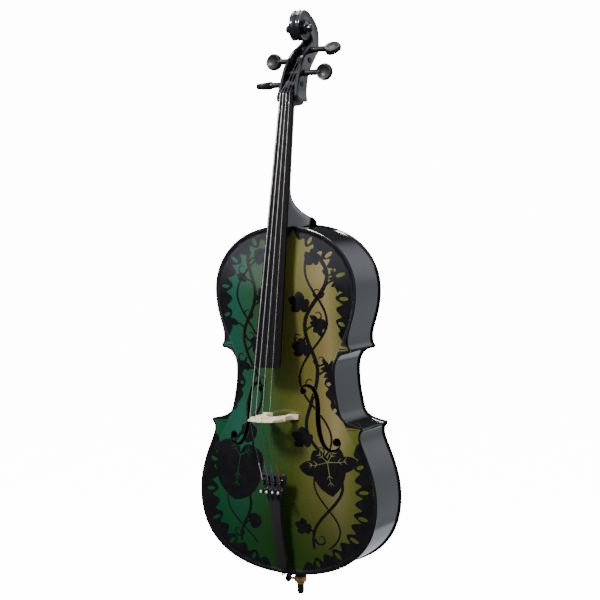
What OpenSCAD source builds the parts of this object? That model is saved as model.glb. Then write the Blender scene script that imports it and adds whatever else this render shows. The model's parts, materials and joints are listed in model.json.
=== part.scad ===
// Full-size cello: arched plates on a rib garland, carved neck and scroll, four pegs and strings,
// a carved bridge, a tailpiece with four screw tuners, and a sliding endpin.
// Frame: origin at the bottom of the endpin's rubber tip, +Z to the scroll, -Y out of the front.

/* [Body] */
// Overall scale of the outline's width
body_w_k = 1.02; // [0.98:0.01:1.04]
// Height of the body's lower edge above the endpin tip
body_z = 57.5; // [57.5:0.5:60]
// Depth between the two plates' inner faces
rib_h = 113; // [108:1:118]
// Thickness of the plates
plate_t = 4.5; // [4:0.1:5]
// Height of the arching above the plate's edge
arch_h = 20.5; // [18:0.5:24]
// Overhang of the plates past the ribs
overhang = 3.5; // [3:0.1:4]
// Thickness of a rib
rib_t = 2; // [1.5:0.1:2]

/* [Neck] */
// Height of the nut's lower face, where the open strings end
nut_z = 1092.5; // [1085:0.5:1100]
// Front of the fingerboard at the nut
nut_y = -45; // [-46:0.5:-43]
// Fall of the fingerboard's surface for each millimetre towards the bridge
board_slope = 0.177; // [0.165:0.001:0.185]
// Length of the fingerboard
board_len = 577; // [560:1:590]
// Width of the fingerboard at the nut
board_w0 = 33; // [31:0.5:35]
// Width of the fingerboard at its free end
board_w1 = 64; // [60:0.5:66]
// Radius of the pegs where they pass through the cheeks
peg_r = 6.45; // [6:0.05:6.8]

/* [Strings] */
// Height of the bridge's middle plane above the endpin tip
bridge_z = 405.5; // [400:0.5:412]
// Front of the bridge at its crown
bridge_y = -175; // [-178:0.5:-170]
// Spacing of the outer strings at the bridge
bridge_span = 47; // [45:0.5:49]
// Spacing of the outer strings at the nut
nut_span = 22.5; // [21:0.5:24]

/* [Tailpiece] */
// Upper end of the tailpiece
tail_z = 283.5; // [280:0.5:287]
// Front of the tailpiece at its upper end
tail_y = -124; // [-127:0.5:-121]
// Length of the tailpiece
tail_len = 214; // [208:1:220]

/* [Endpin] */
// Radius of the endpin rod
rod_r = 5; // [4:0.5:5]
// Length of the endpin rod
rod_len = 470; // [400:10:480]

/* [Hidden] */

$fn = 48;
gap = 0.3;                       // space between pieces that only lie close
fit = 0.05;                      // radial running clearance of a turning or sliding shaft
mid_y = rib_h / 2;               // inner face of a plate's edge
edge_y = mid_y + plate_t;        // outer face of a plate's edge

// ---- outline of the body, right half from the top, in x and height above the body's lower edge
function bez(p, n) = [for (i = [0:n - 1]) let (t = i / n, u = 1 - t)
    u*u*u * p[0] + 3*u*u*t * p[1] + 3*u*t*t * p[2] + t*t*t * p[3]];
HALF = concat(
    bez([[0, 755], [106, 755], [169.5, 691], [169.5, 615]], 10),
    bez([[169.5, 615], [169.5, 566], [150, 535], [150, 516.5]], 5),
    bez([[150, 516.5], [150, 504.5], [150, 500.5], [156, 494.5]], 3), [[156, 494.5]],
    bez([[153, 487.5], [134, 487.5], [118.5, 473.5], [118.5, 444.5]], 6),
    bez([[118.5, 444.5], [118.5, 406], [126, 376], [131, 356]], 4),
    bez([[131, 356], [136, 342], [150, 336], [182, 331]], 5), [[182, 331]],
    bez([[183, 324], [178, 320], [176.5, 316], [176.5, 310]], 3),
    bez([[176.5, 310], [176.5, 287], [214.5, 240], [214.5, 167.5]], 6),
    bez([[214.5, 167.5], [214.5, 48], [117, 0], [0, 0]], 12), [[0, 0]]);
body_top = body_z + HALF[0][1];
OUTLINE = [for (i = [0:2 * len(HALF) - 3]) i < len(HALF)
    ? [HALF[i][0] * body_w_k, HALF[i][1]]
    : [-HALF[2 * len(HALF) - 2 - i][0] * body_w_k, HALF[2 * len(HALF) - 2 - i][1]]];

function unit(v) = v / norm(v);
function inward(a, b) = let (d = unit(b - a)) [d[1], -d[0]];
function inset(pts, d) = let (n = len(pts)) [for (i = [0:n - 1])
    let (n1 = inward(pts[(i + n - 1) % n], pts[i]), n2 = inward(pts[i], pts[(i + 1) % n]))
    pts[i] + d * (n1 + n2) / (1 + n1 * n2)];

// ---- arching: level 1 is a smooth outline without corners, level 0 the spine
arch_w = [160, 109, 205] * body_w_k; // half-widths of the smooth outline: upper, waist, lower
arch_z = [600, 425, 180];        // heights of those half-widths
arch_end = [143, 168];           // length of its round ends, upper and lower
function ease(t) = (1 - cos(180 * min(max(t, 0), 1))) / 2;
function arch_width(z) = z > arch_z[1]
    ? arch_w[1] + (arch_w[0] - arch_w[1]) * ease((z - arch_z[1]) / (arch_z[0] - arch_z[1]))
    : arch_w[1] + (arch_w[2] - arch_w[1]) * ease((arch_z[1] - z) / (arch_z[1] - arch_z[2]));
function oval(a, b) = pow(pow(abs(a), 2.25) + pow(abs(b), 2.25), 1 / 2.25);
function level(p) = p[1] > arch_z[0] ? oval(p[0] / arch_w[0], (p[1] - arch_z[0]) / arch_end[0])
    : p[1] < arch_z[2] ? oval(p[0] / arch_w[2], (arch_z[2] - p[1]) / arch_end[1])
    : abs(p[0]) / arch_width(p[1]);
function rise(lv) = arch_h * (1 - cos(180 * pow(max(0, 1 - lv), 0.8))) / 2;
function arch_at(x, z) = rise(level([x, z - body_z]));
function at_level(p, lv) = let (s = [0, min(max(p[1], arch_z[2]), arch_z[0])])
    s + (p - s) * lv / level(p);
RINGS = [1, 0.93, 0.84, 0.72, 0.58, 0.42, 0.2];
function ring_points(k) = k == 0 ? OUTLINE : [for (p = OUTLINE) at_level(p, RINGS[k - 1])];

// A closed surface from equal rings of points: the first and last ring are capped
function tube_faces(m, n) = concat([[for (i = [0:n - 1]) i]],
    [for (k = [0:m - 2]) for (i = [0:n - 1]) let (j = (i + 1) % n) for (f =
        [[k*n + i, (k + 1)*n + i, (k + 1)*n + j], [k*n + i, (k + 1)*n + j, k*n + j]]) f],
    [[for (i = [n - 1:-1:0]) (m - 1)*n + i]]);

// A cord through the points of a path, round, with n sides
function cord_dir(path, i) = unit(
    (i < len(path) - 1 ? unit(path[i + 1] - path[i]) : [0, 0, 0])
    + (i > 0 ? unit(path[i] - path[i - 1]) : [0, 0, 0]));
module cord(path, r, n = 8, side = [1, 0, 0]) polyhedron(
    [for (i = [0:len(path) - 1]) let (d = cord_dir(path, i), u = unit(cross(side, d)), v = cross(d, u))
        for (k = [0:n - 1]) path[i] + r * (cos(360 * k / n) * u + sin(360 * k / n) * v)],
    tube_faces(len(path), n), convexity = 6);

module arched_plate() {
    nr = len(RINGS) + 1;
    rise_k = concat([0], [for (lv = RINGS) rise(lv)]);
    outer = [for (k = [nr - 1:-1:0]) for (p = ring_points(k)) [p[0], -edge_y - rise_k[k], p[1] + body_z]];
    inner = [for (k = [0:nr - 1]) for (p = ring_points(k)) [p[0], -mid_y - rise_k[k], p[1] + body_z]];
    polyhedron(concat(outer, inner), tube_faces(2 * nr, len(OUTLINE)), convexity = 8);
}

// Stands a drawing in x and z up, from y = back forwards by depth
module stand(back, depth) translate([0, back, 0]) rotate([90, 0, 0]) linear_extrude(depth) children();
// Stands a drawing in y and z across the instrument, half_w each way
module across(half_w, x = 0) translate([x - half_w, 0, 0]) rotate([90, 0, 90])
    linear_extrude(2 * half_w) children();
module shape(d) translate([0, body_z]) polygon(inset(OUTLINE, d));
module rod_x(r, x0, x1) translate([x0, 0, 0]) rotate([0, 90, 0]) cylinder(r = r, h = x1 - x0);
// A straight round bar between two points
module bar(a, b, r) {
    v = b - a;
    translate(a) rotate([0, acos(v[2] / norm(v)), atan2(v[1], v[0])]) cylinder(r = r, h = norm(v), $fn = 24);
}

// ---- sound holes
eye_hi = [51.5 * body_w_k, 403];
eye_lo = [124.5 * body_w_k, 297];
F_CURVE = concat(
    bez([[46, 404], [48, 418], [68, 422], [76.5, 400]], 8),
    bez([[76.5, 400], [85, 380], [81, 350], [85, 330]], 6),
    bez([[85, 330], [89, 302], [98, 279], [114, 278]], 8),
    bez([[114, 278], [126, 278], [133, 287], [132.5, 297]], 4), [[132.5, 297]]);
F_SPINE = [for (p = F_CURVE) [p[0] * body_w_k, p[1]]];
function f_half_w(t) = 0.9 + 4.3 * sin(180 * t);
module sound_hole() {
    n = len(F_SPINE);
    side = [for (i = [0:n - 1]) let (a = F_SPINE[max(i - 1, 0)], b = F_SPINE[min(i + 1, n - 1)])
        inward(a, b) * f_half_w(i / (n - 1))];
    polygon(concat([for (i = [0:n - 1]) F_SPINE[i] + side[i]],
        [for (i = [n - 1:-1:0]) F_SPINE[i] - side[i]]));
    translate(eye_hi) circle(6.5, $fn = 24);
    translate(eye_lo) circle(8.7, $fn = 24);
}

// ---- neck root, set in the upper block
root_w = 23;                     // half-width of the neck root
root_z = body_top - 15;          // bottom of the mortise
button_r = 17;
module neck_root() translate([-root_w, -90, root_z]) cube([2 * root_w, 90 + mid_y, 60]);

module top_plate() color("darkgreen") difference() {
    arched_plate();
    for (s = [-1, 1]) scale([s, 1, 1]) stand(-mid_y + 1, 40) translate([0, body_z]) sound_hole();
    neck_root();
    saddle_block();
}
module back_plate() color("dimgray") {
    mirror([0, 1, 0]) arched_plate();
    intersection() {
        translate([0, edge_y, body_top]) rotate([90, 0, 0]) cylinder(r = button_r, h = plate_t);
        translate([-30, 0, body_top - 1]) cube([60, 100, 40]);
    }
}

// ---- ribs: one garland, cut at the corners and the middle
corner_hi = body_z + 492.3;
corner_lo = body_z + 327.5;
plug_r = 11;
module garland() stand(mid_y, rib_h) difference() {
    shape(overhang);
    shape(overhang + rib_t);
}
module rib(side, z0, z1) color("dimgray") difference() {
    intersection() {
        garland();
        translate([side > 0 ? 0 : -300, -100, z0]) cube([300, 200, z1 - z0]);
    }
    neck_root();
    translate([0, 0, body_z - 20]) cylinder(r = plug_r, h = 60);
}
module rib_upper_bass() rib(-1, corner_hi, 900);
module rib_upper_treble() rib(1, corner_hi, 900);
module rib_waist_bass() rib(-1, corner_lo, corner_hi);
module rib_waist_treble() rib(1, corner_lo, corner_hi);
module rib_lower_bass() rib(-1, 0, corner_lo);
module rib_lower_treble() rib(1, 0, corner_lo);

// ---- blocks and linings inside the garland
lining_w = 2.5;
lining_h = 12;
module block_zone() {
    translate([-45, root_z - 20]) square([90, 100]);
    translate([-40, body_z]) square([80, 34]);
    for (s = [-1, 1]) scale([s, 1]) corner_zones();
}
module corner_zones() {
    corner_zone_hi();
    corner_zone_lo();
}
module corner_zone_hi() polygon([[135, body_z + 520], [118, body_z + 486], [122, body_z + 470],
    [180, body_z + 470], [180, body_z + 520]]);
module corner_zone_lo() polygon([[125, body_z + 366], [121, body_z + 352], [162, body_z + 296],
    [200, body_z + 296], [200, body_z + 366]]);
module inside(back, depth) stand(back, depth) shape(overhang + rib_t);
module lining(back) color("burlywood") stand(back, lining_h) difference() {
    shape(overhang + rib_t);
    shape(overhang + rib_t + lining_w);
    block_zone();
}
module lining_front() lining(-mid_y + lining_h);
module lining_back() lining(mid_y);
module upper_block() color("burlywood") difference() {
    inside(mid_y, rib_h);
    translate([-200, -100, 0]) cube([400, 200, root_z - 20]);
    for (s = [-1, 1]) translate([s * 145 - 100, -100, 0]) cube([200, 200, 1000]);
    neck_root();
}
module lower_block() color("burlywood") difference() {
    inside(mid_y, rib_h);
    translate([-300, -100, body_z + 34]) cube([600, 200, 900]);
    for (s = [-1, 1]) translate([s * 190 - 150, -100, 0]) cube([300, 200, 1000]);
    cylinder(r = plug_r, h = 200);
}
module corner_block(s, upper) color("burlywood") intersection() {
    inside(mid_y, rib_h);
    scale([s, 1, 1]) stand(100, 200) if (upper) corner_zone_hi(); else corner_zone_lo();
}
module corner_block_upper_bass() corner_block(-1, true);
module corner_block_upper_treble() corner_block(1, true);
module corner_block_lower_bass() corner_block(-1, false);
module corner_block_lower_treble() corner_block(1, false);

bar_x = [-46, -36];              // the bass bar's two sides, under the bridge's bass foot
module bass_bar() color("burlywood") across((bar_x[1] - bar_x[0]) / 2, (bar_x[0] + bar_x[1]) / 2)
    polygon(concat(
        [for (z = [170:40:690]) [-mid_y - arch_at(bar_x[0], z) + gap, z]],
        [for (z = [690:-40:170]) [-mid_y - arch_at(bar_x[0], z) + 4 + 20 * sin((z - 170) / 520 * 180), z]]));
post_x = 38;
post_z = bridge_z - 16;
module sound_post() color("burlywood") {
    reach = mid_y + arch_at(post_x + 6, post_z) - gap;
    translate([post_x, reach, post_z]) rotate([90, 0, 0]) cylinder(r = 5.5, h = 2 * reach);
}

// ---- neck, pegbox and scroll
board_t = [8.5, 14];             // fingerboard thickness at its middle, at the nut and the free end
function board_y(z) = nut_y - board_slope * (nut_z - z);
function board_under(z) = board_y(z) + board_t[0] + (board_t[1] - board_t[0]) * (nut_z - z) / board_len;
function board_half_w(z) = (board_w0 + (board_w1 - board_w0) * (nut_z - z) / board_len) / 2;
heel_z = body_top + 16.5;        // top of the button
heel_len = 82;                   // from the button to where the neck runs straight
// How far the rounded end under the pegbox has grown out of the neck, by height
CHIN = [[1064, 0], [1066, 0.06], [1067.5, 0.3], [1069, 0.66], [1071, 0.86], [1075, 1], [1083, 1]];
function chin(z) = z > 1064 ? lookup(z, CHIN) : 0;
function neck_back(z) = let (t = (z - heel_z) / heel_len, straight = board_y(z) + 27 + 0.013 * (nut_z - z))
    t >= 1 ? straight + 24 * chin(z) : straight + (mid_y - straight) * pow(1 - max(t, 0), 2.7);
NECK_Z = [root_z, heel_z, heel_z + 3, heel_z + 7, heel_z + 13, heel_z + 21, heel_z + 31, heel_z + 44,
    heel_z + 60, heel_z + 82, 980, 1064, 1066, 1067.5, 1069, 1071, 1075, 1083];
neck_n = 16;
function neck_ring(z) = let (y0 = board_under(z), y1 = neck_back(z), w = min(board_half_w(z) - 0.2, root_w),
        q = chin(z), e = 1 - 0.6 * min(1, 1.3 * q), f = z < heel_z + 30 ? 0.45 : e)
    [for (i = [0:neck_n]) let (a = 180 * i / neck_n, c = cos(a), d = pow(sin(a) + 1e-9, f))
        [w * sign(c) * pow(abs(c), e) * (1 + 0.45 * q * d), y0 + (y1 - y0) * d, z]];
module neck_shaft() polyhedron([for (z = NECK_Z) for (p = neck_ring(z)) p],
    tube_faces(len(NECK_Z), neck_n + 1));

eye = [21, 1236.5];              // centre of the scroll, in y and z
SPIRAL = [[0, 62], [21, 52.5], [42, 44.5], [65, 41.7], [90, 41], [120, 36], [150, 30.5], [180, 27.5], [225, 27],
    [270, 26.5], [315, 23.5], [360, 21.5], [450, 19.5], [540, 16.5], [630, 14], [720, 10.5]];
module volute(from, half_w) across(half_w) polygon([for (a = [from:12:from + 360])
    eye + lookup(a, SPIRAL) * [cos(a), sin(a)]]);
module pegbox_side() polygon([[-32, 1077], [-34, 1087], [nut_y, 1090.5], [-31, 1115], [-16, 1148.5], [5, 1179.5],
    [26, 1196], [50, 1211], [60, 1225], [eye[0] + 46, eye[1] + 18], [84.3, 1230.5], [85.5, 1213], [80, 1197],
    [68, 1184], [48, 1167.5], [29, 1150], [18, 1133], [12.5, 1116], [5.5, 1095], [4, 1082.5], [0, 1077]]);
module pegbox_front(d) polygon(concat([for (p = PEGBOX_W) [p[0] - d, p[1]]],
    [for (i = [len(PEGBOX_W) - 1:-1:0]) [d - PEGBOX_W[i][0], PEGBOX_W[i][1]]]));
PEGBOX_W = [[27, 1070], [27, 1084], [24, 1092], [22, 1148], [18, 1180], [14, 1205], [13, 1260]];
module pegbox_hollow() intersection() {
    across(30) polygon([[nut_y - 20, 1100.5], [-31, 1100.5], [-6, 1102], [4, 1124], [22, 1147.5], [45, 1172.5],
        [62, 1190], [66, 1201], [52, 1206], [44, 1206], [20, 1206], [-40, 1150]]);
    stand(120, 200) pegbox_front(6.8);
}
module pegbox() difference() {
    intersection() {
        across(30) pegbox_side();
        stand(120, 200) pegbox_front(0);
    }
    pegbox_hollow();
}
nut_h = 8;
module board_seat() across(17.5) polygon([[-70, 1060], [board_under(1060), 1060], [board_under(nut_z), nut_z],
    [board_under(nut_z), nut_z + nut_h], [-70, nut_z + nut_h]]);
module neck() color("dimgray") difference() {
    union() {
        neck_shaft();
        pegbox();
        volute(0, 13);
        volute(180, 18.5);
        volute(360, 23);
        translate([0, eye[0], eye[1]]) rod_x(8, -31.5, 31.5);
    }
    board_seat();
    for (k = [0:3]) translate([0, PEG[k][0], PEG[k][1]]) rod_x(peg_r + fit, -40, 40);
}

module fingerboard() color("black") {
    arc = 12;
    ends = [for (z = [nut_z, nut_z - board_len]) let (w = board_half_w(z)) concat(
        [for (i = [-arc:arc]) let (x = w * i / arc) [-x, crown_y(x, board_y(z)), z]],
        [[-w, board_under(z), z], [w, board_under(z), z]])];
    polyhedron(concat(ends[0], ends[1]), tube_faces(2, 2 * arc + 3));
}

// ---- strings, bass to treble: C, G, D, A
STRING_R = [0.85, 0.65, 0.5, 0.36];
PEG = [[-14, 1114.5], [28, 1168.5], [46.5, 1193], [3, 1139.5]];   // axis of each peg, y and z
PEG_SIDE = [-1, -1, 1, 1];
PEG_FACE = [8, 84, 40, 88];      // turn of each peg's head about its own axis
HEAD_X = [69, 69, 67.5, 70];     // centre of each head from the middle plane
head_r = 18.5;
WIND_X = [-8.5, -4.5, 4, 8.5];     // middle of each winding on its peg
wind_w = 7;
function wind_r(k) = peg_r + 2 * STRING_R[k] + 0.2;
function string_x(k, span) = span * (k / 3 - 0.5);
crown_r = 62;                    // crown of the board, nut and bridge
nut_rise = 2;
string_lift = 0.6;               // clears the bridge's edge on the tailpiece side
function crown_y(x, y0) = y0 + crown_r - sqrt(crown_r * crown_r - x * x);
function nut_pt(k) = let (x = string_x(k, nut_span))
    [x, crown_y(x, nut_y - nut_rise) - STRING_R[k] - 0.05, nut_z + 3.2];
function bridge_pt(k) = let (x = string_x(k, bridge_span))
    [x, crown_y(x, bridge_y) - STRING_R[k] - string_lift, bridge_z];
function peg_pt(k) = let (n = nut_pt(k), v = PEG[k] - [n[1], n[2]], d = unit(v), r = wind_r(k) + STRING_R[k] + 0.15,
    q = r / norm(v), c = PEG[k] - r * q * d + r * sqrt(1 - q * q) * [-d[1], d[0]]) [WIND_X[k], c[0], c[1]];
silk_len = 42;
function silk_pt(k) = tuner_pt(k) + silk_len * unit(bridge_pt(k) - tuner_pt(k));

module peg(k) color("black") translate([0, PEG[k][0], PEG[k][1]]) rotate([PEG_FACE[k], 0, 0])
    scale([PEG_SIDE[k], 1, 1]) {
        cheek = lookup(PEG[k][1] - 10, [for (p = PEGBOX_W) [p[1], p[0]]]);
        rod_x(peg_r, -cheek - 0.8, cheek + 1);
        translate([cheek + 0.4, 0, 0]) rotate([0, 90, 0]) rotate_extrude()
            polygon([[0, 0], [7.3, 0], [7.5, 1], [7.3, 2], [6.4, 4], [6.1, 14],
                [6.6, HEAD_X[k] - cheek - 18], [8, HEAD_X[k] - cheek - 13], [0, HEAD_X[k] - cheek - 9]]);
        intersection() {
            translate([HEAD_X[k], 0, 0]) sphere(r = head_r);
            translate([HEAD_X[k], head_r, 0]) rotate([90, 0, 0]) linear_extrude(2 * head_r)
                polygon([[-head_r, -8.5], [head_r, -5], [head_r, 5], [-head_r, 8.5]]);
        }
    }
module peg_c() peg(0);
module peg_g() peg(1);
module peg_d() peg(2);
module peg_a() peg(3);

module winding(k) color("silver") translate([WIND_X[k], PEG[k][0], PEG[k][1]]) difference() {
    rod_x(wind_r(k), -wind_w / 2, wind_w / 2);
    rod_x(peg_r, -wind_w, wind_w);
}
module winding_c() winding(0);
module winding_g() winding(1);
module winding_d() winding(2);
module winding_a() winding(3);

module cello_string(k) color("silver")
    cord([peg_pt(k), nut_pt(k), bridge_pt(k), silk_pt(k)], STRING_R[k]);
module string_c() cello_string(0);
module string_g() cello_string(1);
module string_d() cello_string(2);
module string_a() cello_string(3);
module string_silks() color("firebrick") for (k = [0:3]) bar(silk_pt(k), tuner_pt(k), STRING_R[k] + 0.3);

module nut() color("black") intersection() {
    translate([0, nut_y - nut_rise + crown_r, nut_z]) cylinder(r = crown_r, h = nut_h);
    across(board_w0 / 2) polygon([[board_under(nut_z), nut_z], [nut_y - 5, nut_z], [nut_y - 5, nut_z + 0.4],
        [nut_y + 8, nut_z + nut_h], [board_under(nut_z), nut_z + nut_h]]);
}

saddle_w = 40;
module saddle_block() translate([-saddle_w / 2, -90, body_z - 5]) cube([saddle_w, 100, 12 + 5]);
module saddle() color("black") intersection() {
    translate([-saddle_w / 2, -edge_y - 6, body_z - 5]) cube([saddle_w, plate_t + 6, 17]);
    translate([-saddle_w, 0, 0]) rotate([90, 0, 90]) linear_extrude(2 * saddle_w) polygon([
        [-mid_y, body_z], [-edge_y, body_z], [-edge_y - 2, body_z + 0.6], [-edge_y - 4.5, body_z + 3],
        [-edge_y - 5, body_z + 6], [-edge_y - 3, body_z + 10], [-edge_y, body_z + 12], [-mid_y, body_z + 12]]);
}

// ---- bridge, drawn in x and height above the top's crown
crown = edge_y + arch_h;
BRIDGE_LEG = concat(
    bez([[21, 4], [26, 8], [24, 32], [0, 45]], 8), [[0, 45]]);
BRIDGE_SIDE = concat(
    bez([[43, 0], [40.5, 4], [34, 5], [32.5, 14]], 5),
    bez([[32.5, 14], [31, 26], [30, 34], [36, 40]], 5),
    bez([[36, 40], [37, 45], [34, 46], [31, 44]], 4),
    bez([[31, 44], [24, 40], [20, 46], [23, 52]], 5),
    bez([[23, 52], [26, 57], [32, 54], [35, 52]], 4),
    bez([[35, 52], [40, 55], [38, 62], [35, 68]], 5),
    bez([[35, 68], [31, 76], [30, 80], [30, 84]], 4));
function under_foot(x) = arch_at(x, bridge_z) - arch_h + gap / 2;
module bridge_half() difference() {
    polygon(concat([for (p = BRIDGE_LEG) p], [[0, -crown - bridge_y]],
        [for (x = [4:4:28]) [x, -crown - crown_y(x, bridge_y)]], [[30, -crown - crown_y(30, bridge_y)]],
        [for (i = [len(BRIDGE_SIDE) - 1:-1:0]) BRIDGE_SIDE[i]],
        [for (x = [43:-3:19]) [x, under_foot(x)]]));
    // heart: two lobes and a point below
    translate([4, 66]) circle(4.6, $fn = 32);
    polygon([[0, 54], [6.5, 60], [8.3, 64.5], [4, 67], [0, 66]]);
    translate([0, 70.6]) circle(1.4, $fn = 16);
}
module bridge() color("bisque") intersection() {
    translate([0, -crown, bridge_z - 6]) mirror([0, 1, 0]) linear_extrude(12) {
        bridge_half();
        mirror([1, 0, 0]) bridge_half();
    }
    across(60) polygon([[-crown + 12, bridge_z - 5.5], [-crown - 10, bridge_z - 5.2], [bridge_y - 2, bridge_z - 1.5],
        [bridge_y - 2, bridge_z + 1.5], [-crown - 40, bridge_z + 4.4], [-crown - 10, bridge_z + 5.2],
        [-crown + 12, bridge_z + 5.5]]);
}

// ---- tailpiece and its tuners, in a frame at the middle of the upper end
tail_tilt = 10.2;
tail_t = 13;
tuner_x = [-21, -7, 7, 21];
pivot = [8, -13];                // lever's pivot: depth below the front, and along the tailpiece
screw_z = -33;
arm = pivot[1] - screw_z;
hook_y = -3.6;
module on_tail() translate([0, tail_y, tail_z]) rotate([tail_tilt, 0, 0]) children();
function tail_to_world(p) = [p[0], tail_y + p[1] * cos(tail_tilt) - p[2] * sin(tail_tilt),
    tail_z + p[1] * sin(tail_tilt) + p[2] * cos(tail_tilt)];
function tuner_pt(k) = tail_to_world([tuner_x[k], hook_y + 1.2, -10.3]);
TAIL_HALF = concat(
    [[0, 0], [24, 0]],
    bez([[24, 0], [29, 0], [30, -5], [29, -12]], 4),
    bez([[29, -12], [27, -30], [17, -40], [14, -60]], 6),
    bez([[14, -60], [10, -95], [9, -130], [12, -185]], 6),
    bez([[12, -185], [14, -205], [14, -214], [0, -214]], 6));
module tail_plan() polygon(concat([for (p = TAIL_HALF) [p[0], p[1] * tail_len / 214]], [[0, -tail_len]],
    [for (i = [len(TAIL_HALF) - 1:-1:1]) [-TAIL_HALF[i][0], TAIL_HALF[i][1] * tail_len / 214]]));
module tailpiece() color("black") difference() {
    on_tail() intersection() {
        stand(tail_t, tail_t) tail_plan();
        translate([0, 58, -tail_len - 10]) cylinder(r = 58, h = tail_len + 20, $fn = 120);
    }
    for (k = [0:3]) on_tail() translate([tuner_x[k], 0, 0]) {
        translate([-2.7, -10, -25]) cube([5.4, 40, 22]);
        translate([-2.7, 5.6, -40]) cube([5.4, 20, 20]);
        translate([0, 0, screw_z]) rotate([-90, 0, 0]) translate([0, 0, -5]) cylinder(r = 1.95 + fit, h = 15);
    }
    on_tail() translate([-40, pivot[0], pivot[1]]) rotate([0, 90, 0]) cylinder(r = 1.2, h = 80);
    on_tail() translate([-7, tail_t - 3, -tail_len - 1]) cube([14, 8, 22]);
}
module tuner_pins() color("silver") on_tail() translate([-26.5, pivot[0], pivot[1]])
    rotate([0, 90, 0]) cylinder(r = 1.2, h = 53);
module tuner_lever(k) color("dimgray") on_tail() translate([tuner_x[k], pivot[0], pivot[1]]) difference() {
    union() {
        rod_x(3, -2.2, 2.2);
        translate([-2.2, -1, -arm - 3]) cube([4.4, 2.5, arm + 3]);
        translate([-2.2, hook_y - pivot[0] - 1, -1.5]) cube([4.4, pivot[0] - hook_y, 3]);
    }
    rod_x(1.2 + fit, -5, 5);
    translate([-0.9, hook_y - pivot[0] - 2, -3]) cube([1.8, 4, 6]);
}
module tuner_lever_c() tuner_lever(0);
module tuner_lever_g() tuner_lever(1);
module tuner_lever_d() tuner_lever(2);
module tuner_lever_a() tuner_lever(3);

screw_top = -6.5;
module tuner_screw(k) color("silver") on_tail() translate([tuner_x[k], screw_top, screw_z])
    rotate([-90, 0, 0]) cylinder(r = 1.95, h = pivot[0] - 1 - gap - screw_top);
module tuner_screw_c() tuner_screw(0);
module tuner_screw_g() tuner_screw(1);
module tuner_screw_d() tuner_screw(2);
module tuner_screw_a() tuner_screw(3);
module tuner_knob(k) color("black") on_tail() translate([tuner_x[k], screw_top, screw_z]) rotate([90, 0, 0]) {
    cylinder(r = 4.8, h = 8);
    translate([0, 0, 8]) cylinder(r1 = 4.2, r2 = 2.6, h = 1.2);
    for (a = [0:24:359]) rotate(a) translate([4.8, 0, 0]) cylinder(r = 0.55, h = 7.4, $fn = 14);
}
module tuner_knob_c() tuner_knob(0);
module tuner_knob_g() tuner_knob(1);
module tuner_knob_d() tuner_knob(2);
module tuner_knob_a() tuner_knob(3);

cord_r = 1.5;
loop_r = 10.8;                   // the cord's loop round the neck of the endpin plug
loop_z = body_z - 1.9;
function cord_leg(s) = [tail_to_world([s * 4, tail_t - 1.4, -tail_len + 14]),
    tail_to_world([s * 4.5, tail_t - 1.4, -tail_len - 2]), [s * 7, -edge_y - 7.2, body_z + 5],
    [s * 7.6, -edge_y - 6.2, body_z + 0.6], [s * 8.2, -edge_y - 3.4, loop_z], [s * loop_r, -14, loop_z]];
module tail_cord() color("black") cord(concat(cord_leg(-1),
    [for (a = [180:-18:0]) [loop_r * cos(a), loop_r * sin(a), loop_z]],
    [for (i = [5:-1:0]) cord_leg(1)[i]]), cord_r, 8, [0, 0, 1]);

// ---- endpin
rib_z = body_z + overhang;       // outside of the rib at the bottom
collar_z = [22.1, 39.5];
screw_pos = 32.5;
module turned(profile) rotate_extrude($fn = 96) polygon(profile);
bore_r = rod_r + fit;
module endpin_plug() color("black") turned([[bore_r, collar_z[1]], [12.2, collar_z[1]], [13, collar_z[1] + 1],
    [13, 45], [12.4, 47], [13, 49], [13, 51], [9, 53], [9, 58], [14.2, rib_z - 1.5], [14.2, rib_z],
    [plug_r, rib_z], [plug_r, rib_z + 32], [bore_r, rib_z + 32]]);
module endpin_collar() color("gold") difference() {
    turned([[bore_r, collar_z[0]], [8.2, collar_z[0]], [8.8, collar_z[0] + 1], [8.8, 24], [8, 24.8], [10.4, 26.5],
        [12.6, 27.5], [13.6, 29], [13.6, 36], [12.8, 36.6], [12.8, 37.2], [13.6, 37.8],
        [13.6, 39], [13, collar_z[1]], [bore_r, collar_z[1]]]);
    translate([0, 0, screw_pos]) rod_x(2.95 + fit, -20, 0);
}
module endpin_rod() color("silver") {
    translate([0, 0, 6]) cylinder(r = rod_r, h = rod_len - 2);
    translate([0, 0, rod_len + 4]) cylinder(r1 = rod_r, r2 = rod_r - 1.2, h = 2);
}
module endpin_tip() color("black") difference() {
    turned([[0, 0], [3.4, 0], [5.6, 1.4], [7, 4], [7.4, 7], [7.4, 20.6], [6.8, 21.8], [0, 21.8]]);
    translate([0, 0, 6]) cylinder(r = bore_r, h = 30);
}
module endpin_screw() color("gold") translate([0, 0, screw_pos]) rod_x(2.95, -25, -rod_r - gap / 2);
module endpin_screw_head() color("black") translate([0, 0, screw_pos]) {
    rod_x(8.2, -34, -27);
    rod_x(5, -27, -25);
    for (a = [0:30:359]) rotate([a, 0, 0]) translate([0, 8.2, 0]) rod_x(0.9, -33.4, -27.6, $fn = 14);
}

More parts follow.
